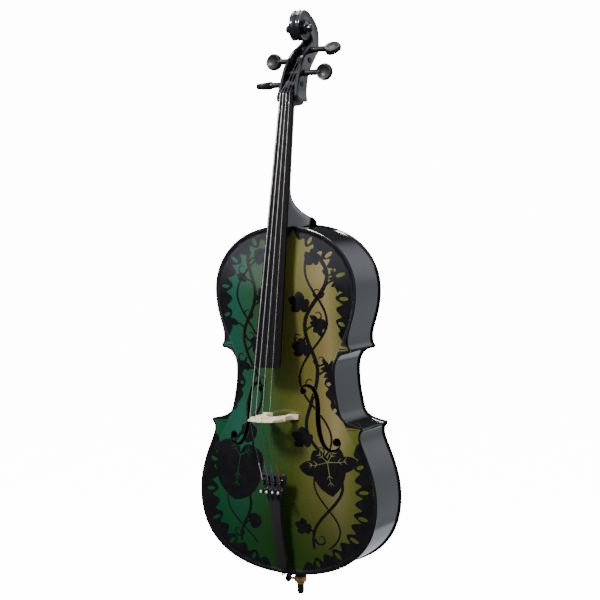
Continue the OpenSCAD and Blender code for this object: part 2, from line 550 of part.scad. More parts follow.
top_plate();
back_plate();
rib_upper_bass();
rib_upper_treble();
rib_waist_bass();
rib_waist_treble();
rib_lower_bass();
rib_lower_treble();
lining_front();
lining_back();
upper_block();
lower_block();
corner_block_upper_bass();
corner_block_upper_treble();
corner_block_lower_bass();
corner_block_lower_treble();
bass_bar();
sound_post();
neck();
fingerboard();
nut();
saddle();
bridge();
peg_c();
peg_g();
peg_d();
peg_a();
winding_c();
winding_g();
winding_d();
winding_a();
string_c();
string_g();
string_d();
string_a();
string_silks();
tailpiece();
tail_cord();
tuner_pins();
tuner_lever_c();
tuner_lever_g();
tuner_lever_d();
tuner_lever_a();
tuner_screw_c();
tuner_screw_g();
tuner_screw_d();
tuner_screw_a();
tuner_knob_c();
tuner_knob_g();
tuner_knob_d();
tuner_knob_a();
endpin_plug();
endpin_collar();
endpin_rod();
endpin_tip();
endpin_screw();
endpin_screw_head();
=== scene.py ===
import json
import math

import bmesh
import bpy
from mathutils import Matrix, Vector


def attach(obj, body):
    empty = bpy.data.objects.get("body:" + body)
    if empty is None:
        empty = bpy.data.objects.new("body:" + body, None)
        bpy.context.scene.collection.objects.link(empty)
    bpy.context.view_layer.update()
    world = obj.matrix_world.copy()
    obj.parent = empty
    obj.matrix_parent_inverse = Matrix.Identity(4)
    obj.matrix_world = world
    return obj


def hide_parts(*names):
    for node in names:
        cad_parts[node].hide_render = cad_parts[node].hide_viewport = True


# A full-size cello. Lengths are in millimetres in the functions, and MM turns them into metres in the meshes.
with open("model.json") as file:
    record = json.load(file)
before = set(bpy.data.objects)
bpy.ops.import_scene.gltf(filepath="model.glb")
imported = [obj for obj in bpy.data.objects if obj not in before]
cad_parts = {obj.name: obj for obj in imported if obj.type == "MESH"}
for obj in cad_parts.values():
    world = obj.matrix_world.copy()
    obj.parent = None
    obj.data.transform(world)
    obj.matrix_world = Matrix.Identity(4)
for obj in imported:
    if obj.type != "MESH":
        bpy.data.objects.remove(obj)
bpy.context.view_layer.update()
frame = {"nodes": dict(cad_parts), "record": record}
MM = 0.001
KEYS = ["c", "g", "d", "a"]


# ---------------------------------------------------------------- materials
class Nodes:
    """A short way to build one material's node tree."""

    def __init__(self, name):
        self.mat = bpy.data.materials.new(name)
        self.mat.use_nodes = True
        self.tree = self.mat.node_tree
        self.bsdf = self.tree.nodes["Principled BSDF"]
        self.coords = self.tree.nodes.new("ShaderNodeTexCoord").outputs["Object"]

    def add(self, kind, inputs=None, **props):
        made = self.tree.nodes.new("ShaderNode" + kind)
        for key, value in props.items():
            setattr(made, key, value)
        for key, value in (inputs or {}).items():
            if isinstance(value, bpy.types.NodeSocket):
                self.tree.links.new(value, made.inputs[key])
            else:
                made.inputs[key].default_value = value
        return made

    def set(self, **values):
        for key, value in values.items():
            socket = self.bsdf.inputs[key.replace("_", " ")]
            if isinstance(value, bpy.types.NodeSocket):
                self.tree.links.new(value, socket)
            else:
                socket.default_value = value

    def scaled(self, x, y, z):
        return self.add("Mapping", {"Vector": self.coords, "Scale": (x, y, z)}).outputs["Vector"]

    def noise(self, vector, scale, detail=3.0, roughness=0.5):
        return self.add("TexNoise", {"Vector": vector, "Scale": scale, "Detail": detail,
                                     "Roughness": roughness}).outputs["Fac"]

    def ramp(self, fac, stops):
        made = self.add("ValToRGB", {"Fac": fac})
        band = made.color_ramp.elements
        while len(band) < len(stops):
            band.new(0.5)
        for element, (place, colour) in zip(band, stops):
            element.position = place
            element.color = (*colour, 1.0) if len(colour) == 3 else colour
        return made.outputs["Color"]

    def mapped(self, value, low, high, to_low, to_high):
        return self.add("MapRange", {"Value": value, "From Min": low, "From Max": high,
                                     "To Min": to_low, "To Max": to_high}).outputs["Result"]

    def bump(self, height, strength, distance):
        made = self.add("Bump", {"Height": height, "Strength": strength, "Distance": distance})
        self.tree.links.new(made.outputs["Normal"], self.bsdf.inputs["Normal"])


def gloss_coat(n):
    """Thick polished lacquer: a clear coat with a faint ripple and fine dust haze."""
    n.set(Coat_Weight=1.0, Coat_Roughness=0.02, Coat_IOR=1.5, Specular_IOR_Level=0.12)
    ripple = n.noise(n.scaled(1, 1, 1), 18.0, 2.0)
    n.bump(ripple, 0.05, 0.002)
    haze = n.noise(n.scaled(1, 1, 1), 60.0, 4.0)
    n.set(Roughness=n.mapped(haze, 0.3, 0.7, 0.16, 0.24))


def black_gloss(name, stretch, scale, dark, pale):
    n = Nodes(name)
    tone = n.noise(n.scaled(*stretch), scale, 3.0)
    n.set(Base_Color=n.ramp(tone, [(0.35, dark), (0.7, pale)]))
    gloss_coat(n)
    return n.mat


def painted_ground():
    """Teal at the bass edge, through green and olive, to gold at the treble edge, with painted shade that
    darkens it towards the foot.
    """
    n = Nodes("painted_ground")
    place = n.add("SeparateXYZ", {"Vector": n.coords})
    drift = n.noise(n.scaled(1, 0, 1), 4.0, 3.0)
    lean = n.add("Math", {0: place.outputs["Z"], 1: 0.06}, operation="MULTIPLY").outputs[0]
    across = n.add("Math", {0: place.outputs["X"], 1: lean}, operation="ADD").outputs[0]
    wander = n.mapped(drift, 0.3, 0.7, -0.012, 0.012)
    across = n.add("Math", {0: across, 1: wander}, operation="ADD").outputs[0]
    fac = n.mapped(across, -0.17, 0.19, 0.0, 1.0)
    hue = n.ramp(fac, [(0.0, (0.009, 0.060, 0.022)), (0.22, (0.008, 0.070, 0.044)),
                       (0.42, (0.020, 0.062, 0.020)), (0.58, (0.052, 0.066, 0.009)),
                       (0.76, (0.125, 0.108, 0.026)), (0.88, (0.205, 0.163, 0.070)),
                       (1.0, (0.082, 0.094, 0.014))])
    high = n.ramp(fac, [(0.0, (0.009, 0.054, 0.018)), (0.4, (0.018, 0.050, 0.013)),
                        (0.6, (0.040, 0.050, 0.006)), (0.85, (0.086, 0.098, 0.013)),
                        (1.0, (0.074, 0.086, 0.012))])
    crown = n.mapped(place.outputs["Z"], 0.80, 0.98, 0.0, 1.0)
    hue = n.add("Mix", {0: crown, 6: hue, 7: high}, data_type="RGBA").outputs[2]
    # painted shade: below 0.36 m the ground fades into the darker low colours, darkest at 0.10 m
    foot = n.mapped(place.outputs["Z"], 0.10, 0.36, 1.0, 0.0)
    low = n.ramp(fac, [(0.0, (0.002, 0.042, 0.012)), (0.5, (0.011, 0.038, 0.006)),
                       (1.0, (0.045, 0.052, 0.007))])
    ground_with_foot_shade = n.add("Mix", {0: foot, 6: hue, 7: low}, data_type="RGBA").outputs[2]
    flake = n.noise(n.scaled(1, 1, 1), 900.0, 2.0)
    glint = n.mapped(flake, 0.35, 0.75, 0.92, 1.12)
    lit = n.add("VectorMath", {0: ground_with_foot_shade, "Scale": glint}, operation="SCALE").outputs[0]
    n.set(Base_Color=lit)
    gloss_coat(n)
    return n.mat


def painted_vein():
    """Dull green on the bass side and gold on the treble side."""
    n = Nodes("painted_vein")
    tone = n.noise(n.scaled(1, 1, 1), 30.0, 3.0)
    across = n.add("SeparateXYZ", {"Vector": n.coords}).outputs["X"]
    dim = n.ramp(tone, [(0.3, (0.008, 0.034, 0.016)), (0.7, (0.014, 0.048, 0.022))])
    gold = n.ramp(tone, [(0.3, (0.11, 0.12, 0.035)), (0.7, (0.18, 0.17, 0.06))])
    share = n.mapped(across, -0.05, 0.03, 0.0, 1.0)
    n.set(Base_Color=n.add("Mix", {0: share, 6: dim, 7: gold}, data_type="RGBA").outputs[2])
    gloss_coat(n)
    return n.mat


def ebony(name, sheen):
    n = Nodes(name)
    grain = n.noise(n.scaled(60, 60, 1.6), 6.0, 6.0, 0.6)
    n.set(Base_Color=n.ramp(grain, [(0.35, (0.003, 0.0025, 0.0025)), (0.62, (0.006, 0.005, 0.005)),
                                    (0.75, (0.013, 0.009, 0.008))]))
    pores = n.noise(n.scaled(300, 300, 9), 3.0, 4.0, 0.6)
    n.set(Roughness=n.mapped(pores, 0.35, 0.65, 0.62 - sheen, 0.78 - sheen), Specular_IOR_Level=0.08 + sheen,
          Coat_Weight=0.5 * sheen, Coat_Roughness=0.10)
    n.bump(pores, 0.12, 0.0004)
    return n.mat


def maple():
    n = Nodes("bare_maple")
    bands = n.noise(n.scaled(6, 40, 140), 3.0, 5.0, 0.6)
    n.set(Base_Color=n.ramp(bands, [(0.3, (0.80, 0.60, 0.40)), (0.55, (0.92, 0.74, 0.52)),
                                    (0.75, (0.96, 0.82, 0.62))]))
    flecks = n.noise(n.scaled(900, 250, 900), 1.0, 3.0)
    n.set(Roughness=n.mapped(flecks, 0.3, 0.7, 0.38, 0.55))
    n.bump(flecks, 0.15, 0.0003)
    return n.mat


def spruce():
    n = Nodes("bare_spruce")
    rings = n.noise(n.scaled(260, 4, 2), 2.0, 3.0)
    n.set(Base_Color=n.ramp(rings, [(0.35, (0.60, 0.43, 0.24)), (0.6, (0.45, 0.29, 0.14))]), Roughness=0.6)
    n.bump(rings, 0.1, 0.0003)
    return n.mat


def metal(name, colour, rough, grain=(1, 1, 1), metallic=1.0):
    n = Nodes(name)
    n.set(Metallic=metallic)
    marks = n.noise(n.scaled(*grain), 400.0, 5.0, 0.6)
    dim = tuple(0.82 * c for c in colour)
    n.set(Base_Color=n.ramp(marks, [(0.3, dim), (0.65, colour)]),
          Roughness=n.mapped(marks, 0.3, 0.7, rough, rough + 0.08))
    n.bump(marks, 0.06, 0.0002)
    return n.mat


def string_winding():
    """Flat ribbon wound round the core: fine rings along the string."""
    n = Nodes("string_winding")
    rings = n.add("TexWave", {"Vector": n.coords, "Scale": 320.0, "Distortion": 0.4}, wave_type="BANDS",
                  bands_direction="Z").outputs["Fac"]
    n.set(Metallic=1.0, Base_Color=n.ramp(rings, [(0.0, (0.42, 0.42, 0.43)), (1.0, (0.66, 0.66, 0.67))]),
          Roughness=n.mapped(rings, 0, 1, 0.25, 0.38))
    n.bump(rings, 0.3, 0.0001)
    return n.mat


def silk(name, colour):
    n = Nodes(name)
    threads = n.add("TexWave", {"Vector": n.coords, "Scale": 260.0, "Distortion": 1.5}, wave_type="BANDS",
                    bands_direction="Z").outputs["Fac"]
    dark = tuple(0.45 * c for c in colour)
    n.set(Base_Color=n.ramp(threads, [(0.1, dark), (0.8, colour)]), Roughness=0.62, Sheen_Weight=0.3)
    n.bump(threads, 0.4, 0.0002)
    return n.mat


def moulded(name, colour, rough, strength=0.1):
    n = Nodes(name)
    grain = n.noise(n.scaled(1, 1, 1), 700.0, 3.0)
    pale = tuple(1.5 * c for c in colour)
    n.set(Base_Color=n.ramp(grain, [(0.3, colour), (0.75, pale)]),
          Roughness=n.mapped(grain, 0.3, 0.7, rough, rough + 0.1))
    n.bump(grain, strength, 0.0003)
    return n.mat


def braid():
    n = Nodes("braided_cord")
    weave = n.add("TexWave", {"Vector": n.scaled(1, 1, 1), "Scale": 240.0, "Distortion": 3.0},
                  wave_type="BANDS", bands_direction="DIAGONAL").outputs["Fac"]
    n.set(Base_Color=n.ramp(weave, [(0.2, (0.006, 0.006, 0.006)), (0.9, (0.03, 0.03, 0.03))]), Roughness=0.6)
    n.bump(weave, 0.5, 0.0003)
    return n.mat


BLACK = black_gloss("black_lacquer", (1, 1, 0.3), 9.0, (0.006, 0.006, 0.007), (0.011, 0.011, 0.013))
GROUND = painted_ground()
INK = black_gloss("painted_black", (1, 1, 1), 40.0, (0.005, 0.005, 0.0058), (0.009, 0.0082, 0.0098))
VEIN = painted_vein()
EBONY = ebony("ebony", 0.20)
BOARD = ebony("ebony_planed", 0.0)
MAPLE = maple()
SPRUCE = spruce()
BRASS = metal("brass", (1.0, 0.66, 0.17), 0.40, metallic=0.55)
NICKEL = metal("knob_nickel", (0.98, 0.92, 0.84), 0.42, metallic=0.45)
CHROME = metal("bright_metal", (0.80, 0.81, 0.83), 0.12)
STEEL = metal("rod_steel", (0.56, 0.57, 0.59), 0.24, grain=(1, 1, 0.05))
GUNMETAL = metal("dark_metal", (0.10, 0.10, 0.105), 0.30)
WOUND = string_winding()
SILKS = [silk("silk_" + k, c) for k, c in zip(KEYS, [(0.50, 0.50, 0.52), (0.20, 0.08, 0.22),
                                                      (0.02, 0.09, 0.42), (0.38, 0.02, 0.05)])]
DARK_SILK = silk("silk_dark", (0.05, 0.045, 0.06))
COMPOSITE = moulded("composite", (0.013, 0.012, 0.0125), 0.42)
RUBBER = moulded("rubber", (0.018, 0.018, 0.018), 0.62, strength=0.3)
BRAID = braid()


# ---------------------------------------------------------------- meshes
def to_scene(name, mesh, materials, body, replaces=(), crease=None):
    obj = bpy.data.objects.new(name, mesh)
    bpy.context.scene.collection.objects.link(obj)
    for material in materials:
        mesh.materials.append(material)
    if crease is not None:
        smoothed(mesh, crease)
    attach(obj, body)
    if replaces:
        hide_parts(*replaces)
    return obj


def lacquered(name, mesh, replaces=(), crease=None):
    """A black lacquered piece of the body or the neck."""
    return to_scene(name, mesh, [BLACK], "cello", replaces, crease)


def new_mesh(name, points, faces):
    mesh = bpy.data.meshes.new(name)
    mesh.from_pydata([tuple(MM * c for c in p) for p in points], [], faces)
    mesh.update()
    return mesh


def ring_faces(rings, count):
    """Quads between closed rings of points."""
    return [(base + i, base + (i + 1) % count, base + count + (i + 1) % count, base + count + i)
            for base in range(0, (rings - 1) * count, count) for i in range(count)]


def full_circle(steps):
    return [2 * math.pi * i / steps for i in range(steps)]


def smoothed(mesh, crease=None):
    for polygon in mesh.polygons:
        polygon.use_smooth = True
    if crease is not None:
        mesh.set_sharp_from_angle(angle=math.radians(crease))


def outward(mesh):
    work = bmesh.new()
    work.from_mesh(mesh)
    bmesh.ops.remove_doubles(work, verts=work.verts, dist=1e-6)
    bmesh.ops.recalc_face_normals(work, faces=work.faces)
    work.to_mesh(mesh)
    work.free()
    return mesh


def loft(name, rings):
    """A surface through equal closed rings of points, closed at both ends."""
    count = len(rings[0])
    faces = ring_faces(len(rings), count)
    faces.append(tuple(reversed(range(count))))
    faces.append(tuple(range((len(rings) - 1) * count, len(rings) * count)))
    return outward(new_mesh(name, [p for ring in rings for p in ring], faces))


def turned(name, profile, centre, axis, steps=72):
    """A closed lathe body: profile is (distance along the axis, radius) pairs."""
    axis = Vector(axis).normalized()
    side = axis.orthogonal().normalized()
    other = axis.cross(side)
    rings = []
    for along, radius in profile:
        middle = Vector(centre) + axis * along
        rings.append([middle + max(radius, 0.001) * (math.cos(a) * side + math.sin(a) * other)
                      for a in full_circle(steps)])
    return loft(name, rings)


def smooth_path(points, per_span=6):
    """A Catmull-Rom curve through the points."""
    points = [Vector(p) for p in points]
    ends = [2 * points[0] - points[1]] + points + [2 * points[-1] - points[-2]]
    out = []
    for a, b, c, d in zip(ends, ends[1:], ends[2:], ends[3:]):
        for step in range(per_span):
            t = step / per_span
            out.append(0.5 * (2 * b + (c - a) * t + (2 * a - 5 * b + 4 * c - d) * t * t
                              + (3 * b - a - 3 * c + d) * t ** 3))
    return out + [points[-1]]


def tube(name, path, radius, sides=12):
    """A round bar along a path: the radius is a number, or a function of the share along it."""
    path = [Vector(p) for p in path]
    rings = []
    side = None
    for i, here in enumerate(path):
        along = (path[min(i + 1, len(path) - 1)] - path[max(i - 1, 0)]).normalized()
        side = along.orthogonal() if side is None else side - along * side.dot(along)
        side.normalize()
        other = along.cross(side)
        r = radius(i / (len(path) - 1)) if callable(radius) else radius
        rings.append([here + r * (math.cos(a) * side + math.sin(a) * other)
                      for a in full_circle(sides)])
    return loft(name, rings)


def eased_copy(node, name, bevel, material, body, crease=32):
    """A CAD piece with its coplanar facets joined and its edges rounded."""
    mesh = frame["nodes"][node].data.copy()
    mesh.name = name
    mesh.materials.clear()
    work = bmesh.new()
    work.from_mesh(mesh)
    bmesh.ops.remove_doubles(work, verts=work.verts, dist=2e-6)
    bmesh.ops.dissolve_limit(work, angle_limit=math.radians(0.6), verts=work.verts, edges=work.edges)
    if bevel:
        limit = math.radians(crease)
        sharp = [e for e in work.edges if len(e.link_faces) == 2 and e.calc_face_angle(0) > limit]
        bmesh.ops.bevel(work, geom=sharp, offset=bevel * MM, segments=2, profile=0.6, affect="EDGES",
                        clamp_overlap=True, offset_type="OFFSET")
    work.to_mesh(mesh)
    work.free()
    return to_scene(name, mesh, [material], body, [node], crease=crease)


def bezier(p, count):
    out = []
    for i in range(count):
        t = i / count
        u = 1 - t
        out.append(tuple(u ** 3 * a + 3 * u * u * t * b + 3 * u * t * t * c + t ** 3 * d
                         for a, b, c, d in zip(*p)))
    return out


# ---------------------------------------------------------------- the body's outline and arching
BODY_Z = 57.5
MID_Y = 56.5
EDGE_Y = 61.0
ARCH_H = 20.5
OVERHANG = 3.5
WIDE = 1.02                       # the outline's width against its drawing
RIB_T = 2.0
SPANS = [([(0, 755), (106, 755), (169.5, 691), (169.5, 615)], 44),
         ([(169.5, 615), (169.5, 566), (150, 535), (150, 516.5)], 18),
         ([(150, 516.5), (150, 504.5), (150, 500.5), (156, 494.5)], 10),
         ([(156, 494.5), (155, 492.2), (154, 489.8), (153, 487.5)], 3),
         ([(153, 487.5), (134, 487.5), (118.5, 473.5), (118.5, 444.5)], 20),
         ([(118.5, 444.5), (118.5, 406), (126, 376), (131, 356)], 14),
         ([(131, 356), (136, 342), (150, 336), (182, 331)], 20),
         ([(182, 331), (182.3, 328.7), (182.7, 326.3), (183, 324)], 3),
         ([(183, 324), (178, 320), (176.5, 316), (176.5, 310)], 8),
         ([(176.5, 310), (176.5, 287), (214.5, 240), (214.5, 167.5)], 22),
         ([(214.5, 167.5), (214.5, 48), (117, 0), (0, 0)], 54)]
HALF = [(WIDE * x, z) for points, count in SPANS for x, z in bezier(points, count)] + [(0.0, 0.0)]
OUTLINE = HALF + [(-x, z) for x, z in reversed(HALF[1:-1])]
BODY_TOP = BODY_Z + 755


def inset(points, distance):
    out = []
    count = len(points)
    for i in range(count):
        a, b, c = points[i - 1], points[i], points[(i + 1) % count]
        d1 = Vector((b[0] - a[0], b[1] - a[1])).normalized()
        d2 = Vector((c[0] - b[0], c[1] - b[1])).normalized()
        n1, n2 = Vector((d1.y, -d1.x)), Vector((d2.y, -d2.x))
        shift = distance * (n1 + n2) / (1 + n1.dot(n2))
        out.append((b[0] + shift.x, b[1] + shift.y))
    return out


WIDTHS = (160 * WIDE, 109 * WIDE, 205 * WIDE)
LEVELS_Z = (600, 425, 180)
ENDS = (143, 168)


def ease(t):
    return (1 - math.cos(math.pi * min(max(t, 0), 1))) / 2


def arch_width(z):
    if z > LEVELS_Z[1]:
        return WIDTHS[1] + (WIDTHS[0] - WIDTHS[1]) * ease((z - LEVELS_Z[1]) / (LEVELS_Z[0] - LEVELS_Z[1]))
    return WIDTHS[1] + (WIDTHS[2] - WIDTHS[1]) * ease((LEVELS_Z[1] - z) / (LEVELS_Z[1] - LEVELS_Z[2]))


def level(x, z):
    """1 on the smooth outline inside the edge, 0 on the spine."""
    if z > LEVELS_Z[0]:
        return (abs(x / WIDTHS[0]) ** 2.25 + ((z - LEVELS_Z[0]) / ENDS[0]) ** 2.25) ** (1 / 2.25)
    if z < LEVELS_Z[2]:
        return (abs(x / WIDTHS[2]) ** 2.25 + ((LEVELS_Z[2] - z) / ENDS[1]) ** 2.25) ** (1 / 2.25)
    return abs(x) / arch_width(z)


def rise(lv):
    """Height of the arching, with a shallow channel just inside the edge."""
    dome = ARCH_H * (1 - math.cos(math.pi * max(0, 1 - lv) ** 0.8)) / 2
    return dome - 0.7 * math.exp(-((lv - 1.0) / 0.025) ** 2)


def top_y(x, z, lift=0.0):
    return -EDGE_Y - rise(level(x, z)) - lift


def on_top(x, z, lift=0.0):
    return (x, top_y(x, z, lift), z + BODY_Z)


def top_normal(x, z, side=-1):
    e = 0.5
    dx = (rise(level(x + e, z)) - rise(level(x - e, z))) / (2 * e)
    dz = (rise(level(x, z + e)) - rise(level(x, z - e))) / (2 * e)
    return Vector((-dx, side, -dz)).normalized()


def at_level(p, lv):
    sz = min(max(p[1], LEVELS_Z[2]), LEVELS_Z[0])
    k = lv / level(*p)
    return (p[0] * k, sz + (p[1] - sz) * k)


# levels of the loops up the arching, close together near the edge
RINGS = [1.02, 1.0, 0.985, 0.965, 0.94, 0.91, 0.87, 0.82, 0.76, 0.70, 0.63, 0.56, 0.48, 0.40, 0.32, 0.24, 0.16,
         0.09, 0.03]
RIM_LOOP = 13                     # the last loop before the arching starts
CORNER_AREA = 3.2e-5              # faces of that loop above this, in square metres, fill the body's corners
EDGE_STEPS = [(1.4, 0.0), (0.5, 0.35), (0.0, 1.3), (0.0, 3.2), (0.5, 4.15), (1.4, 4.5), (2.8, 4.6)]


def plate_rings(side):
    """Closed loops from the inner face, round the edge and up the arching."""
    loops = []
    for lv in [0.03, 0.2, 0.45, 0.7, 0.88, 1.0]:
        loops.append([(x, side * (MID_Y + max(0, rise(lv))), z + BODY_Z)
                      for x, z in (at_level(p, lv) for p in OUTLINE)])
    for distance, out in EDGE_STEPS:
        loops.append([(x, side * (MID_Y + out), z + BODY_Z) for x, z in inset(OUTLINE, distance)])
    near = inset(OUTLINE, 4.2)
    loops.append([(x, side * (EDGE_Y + 0.1), z + BODY_Z) for x, z in near])
    for lv in RINGS:
        loops.append([(x, side * (EDGE_Y + rise(lv)), z + BODY_Z)
                      for x, z in (at_level(p, min(lv, level(*q) - 0.012) if lv > 1 else lv)
                                   for p, q in zip(OUTLINE, near))])
    return loops


def zipped(name, loops, front=False):
    """Loops joined ring by ring, and each end closed by strips from side to side.

    The front's second material starts inside its rim.
    """
    count = len(loops[0])
    faces = ring_faces(len(loops), count)
    for k in (0, len(loops) - 1):
        for i in range(count // 2):
            corners = dict.fromkeys((i, i + 1, (count - i - 1) % count, (count - i) % count))
            faces.append(tuple(k * count + c for c in corners))
    mesh = new_mesh(name, [p for loop in loops for p in loop], faces)
    rings = (len(loops) - 1) * count
    for polygon in mesh.polygons:
        at = polygon.index
        inside = (RIM_LOOP + 1) * count <= at < rings or at >= rings + count // 2
        corner = RIM_LOOP * count <= at < (RIM_LOOP + 1) * count and polygon.area > CORNER_AREA
        polygon.material_index = 1 if front and (inside or corner) else 0
    return outward(mesh)


# ---- sound holes
EYE_HI = (51.5 * WIDE, 403, 6.5)
EYE_LO = (124.5 * WIDE, 297, 8.7)
F_CURVE = (bezier([(46, 404), (48, 418), (68, 422), (76.5, 400)], 16)
           + bezier([(76.5, 400), (85, 380), (81, 350), (85, 330)], 14)
           + bezier([(85, 330), (89, 302), (98, 279), (114, 278)], 16)
           + bezier([(114, 278), (126, 278), (133, 287), (132.5, 297)], 8) + [(132.5, 297)])
F_SPINE = [(WIDE * x, z) for x, z in F_CURVE]


def f_half_w(t):
    return 0.9 + 4.3 * math.sin(math.pi * t)


def hole_outline():
    last = len(F_SPINE) - 1
    left, right = [], []
    for i, (x, z) in enumerate(F_SPINE):
        a, b = F_SPINE[max(i - 1, 0)], F_SPINE[min(i + 1, last)]
        d = Vector((b[0] - a[0], b[1] - a[1])).normalized()
        w = f_half_w(i / last)
        left.append((x + d.y * w, z - d.x * w))
        right.append((x - d.y * w, z + d.x * w))
    return left + right[::-1]


def in_hole(x, z, margin):
    x = abs(x)
    last = len(F_SPINE) - 1
    if any(math.hypot(x - px, z - pz) < f_half_w(i / last) + margin for i, (px, pz) in enumerate(F_SPINE)):
        return True
    return any(math.hypot(x - ex, z - ez) < er + margin for ex, ez, er in (EYE_HI, EYE_LO))


def prism(name, outline, y0, y1):
    return loft(name, [[(x, y, z + BODY_Z) for x, z in outline] for y in (y0, y1)])


def cut(obj, cutters):
    """Takes each cutter's mesh out of the object."""
    for mesh in cutters:
        tool = bpy.data.objects.new("cutter", mesh)
        bpy.context.scene.collection.objects.link(tool)
        change = obj.modifiers.new("cut", "BOOLEAN")
        change.operation = "DIFFERENCE"
        change.solver = "EXACT"
        change.object = tool
        depsgraph = bpy.context.evaluated_depsgraph_get()
        result = bpy.data.meshes.new_from_object(obj.evaluated_get(depsgraph))
        obj.modifiers.clear()
        obj.data = result
        bpy.data.objects.remove(tool)


def circle_outline(x, z, r, steps=40):
    return [(x + r * math.cos(a), z + r * math.sin(a)) for a in full_circle(steps)]


def arch_normals(mesh, side):
    """Shades the arched faces with the arching's own normals, so that the holes leave no marks."""
    normals = []
    for polygon in mesh.polygons:
        out = side * polygon.normal.y > 0.75
        for index in polygon.loop_indices:
            co = mesh.vertices[mesh.loops[index].vertex_index].co
            x, z = co.x / MM, co.z / MM - BODY_Z
            flat = side * co.y / MM > EDGE_Y - 0.4
            if out and flat and level(x, z) < 1.03:
                normals.append(tuple(top_normal(x, z, side)))
            else:
                normals.append((0.0, 0.0, 0.0))
    mesh.normals_split_custom_set(normals)


def plates():
    top = to_scene("top_arched", zipped("top_arched", plate_rings(-1), True), [BLACK, GROUND], "cello",
                   ["top_plate"])
    cutters = []
    for s in (-1, 1):
        cutters.append(prism("f_cut", [(s * x, z) for x, z in hole_outline()], -95, -45))
        for x, z, r in (EYE_HI, EYE_LO):
            cutters.append(prism("eye_cut", circle_outline(s * x, z, r), -95, -45))
    root = [(-23, 740.5), (23, 740.5), (23, 800), (-23, 800)]
    cutters.append(prism("root_cut", root, -95, 30))
    cutters.append(prism("saddle_cut", [(-20, -6), (20, -6), (20, 12), (-20, 12)], -95, -50))
    cut(top, cutters)
    smoothed(top.data, 40)
    arch_normals(top.data, -1)
    back = lacquered("back_arched", zipped("back_arched", plate_rings(1)), ["back_plate"], 40)
    arch_normals(back.data, 1)
    button = [(17 * math.cos(a), 755 + 17 * math.sin(a)) for a in (math.pi * i / 32 for i in range(33))]
    rings = [[(x * k, y, (z - 755) * k + BODY_TOP) for x, z in button + [(-17, 752), (17, 752)]]
             for k, y in ((0.96, 56.5), (1.0, 57.3), (1.0, 60.2), (0.96, 61.0))]
    lacquered("back_button", loft("back_button", rings), crease=40)


def ribs():
    outer = inset(OUTLINE, OVERHANG)
    inner = inset(OUTLINE, OVERHANG + RIB_T)
    corner_hi, corner_lo = 492.3, 327.5
    neck_half_w = 23
    spans = {"upper": (corner_hi, 760), "waist": (corner_lo, corner_hi), "lower": (0, corner_lo)}
    for part, (low, high) in spans.items():
        for name, s in (("treble", 1), ("bass", -1)):
            clear = neck_half_w if part == "upper" else 0
            rings = [[(s * x, y, z + BODY_Z) for x, y, z in ((ox, -MID_Y, oz), (ox, MID_Y, oz),
                                                             (ix, MID_Y, iz), (ix, -MID_Y, iz))]
                     for (ox, oz), (ix, iz) in list(zip(outer, inner))[:len(HALF)]
                     if low <= oz <= high and abs(ox) >= clear]
            lacquered(f"rib_{part}_{name}_bent", loft("rib", rings), [f"rib_{part}_{name}"], 50)


# ---------------------------------------------------------------- neck, pegbox and scroll
NUT_Z, NUT_Y = 1092.5, -45.0
BOARD_SLOPE, BOARD_LEN = 0.177, 577.0


def board_y(z):
    return NUT_Y - BOARD_SLOPE * (NUT_Z - z)


def board_under(z):
    return board_y(z) + 8.5 + 5.5 * (NUT_Z - z) / BOARD_LEN


def board_half_w(z):
    return (33 + 31 * (NUT_Z - z) / BOARD_LEN) / 2


HEEL_Z = BODY_TOP + 16.5
HEEL_LEN = 82.0
# how far the rounded end under the pegbox has grown, by height
CHIN = [(1064, 0), (1066, 0.06), (1067.5, 0.3), (1069, 0.66), (1071, 0.86), (1075, 1), (1083, 1)]


def chin(z):
    """How far the rounded end under the pegbox has grown out of the neck."""
    return min(along_table(CHIN, z), 1.0) if z > 1064 else 0.0


def neck_back(z):
    t = (z - HEEL_Z) / HEEL_LEN
    straight = board_y(z) + 27 + 0.013 * (NUT_Z - z)
    if t >= 1:
        return straight + 24 * chin(z)
    return straight + (MID_Y - straight) * (1 - max(t, 0)) ** 2.7


def neck_section(z, steps=36):
    y0, y1 = board_under(z), neck_back(z)
    heel = 1 - ease((z - HEEL_Z) / 45)
    w = min(board_half_w(z) - 0.2, 23)
    grown = chin(z)
    power = 1 - 0.6 * min(1.0, 1.3 * grown)
    ring = []
    for i in range(steps + 1):
        a = math.pi * i / steps
        c = math.cos(a)
        depth = math.sin(a) ** (power - 0.5 * heel) if 0 < i < steps else 0.0
        swell = 1 - 0.24 * heel * depth ** 3 + 0.45 * grown * depth
        ring.append((w * math.copysign(abs(c) ** power, c) * swell, y0 + (y1 - y0) * depth, z))
    return ring


EYE = (21.0, 1236.5)
# angle in degrees, then the radius round the eye or the half-width
SPIRAL = [(-38, 76.5), (-18, 67.3), (0, 62), (21, 52.5), (42, 44.5), (65, 41.7), (90, 41), (120, 36),
          (150, 30.5), (180, 27.7), (225, 27), (270, 26.4), (315, 23.5), (360, 21.5), (450, 19), (540, 16),
          (630, 13.5), (720, 10.5), (1100, 8)]
SCROLL_W = [(-38, 13.8), (0, 13), (90, 12.6), (180, 12.4), (270, 15), (360, 17.5), (450, 19), (540, 21),
            (630, 23), (720, 25.5), (1100, 26)]


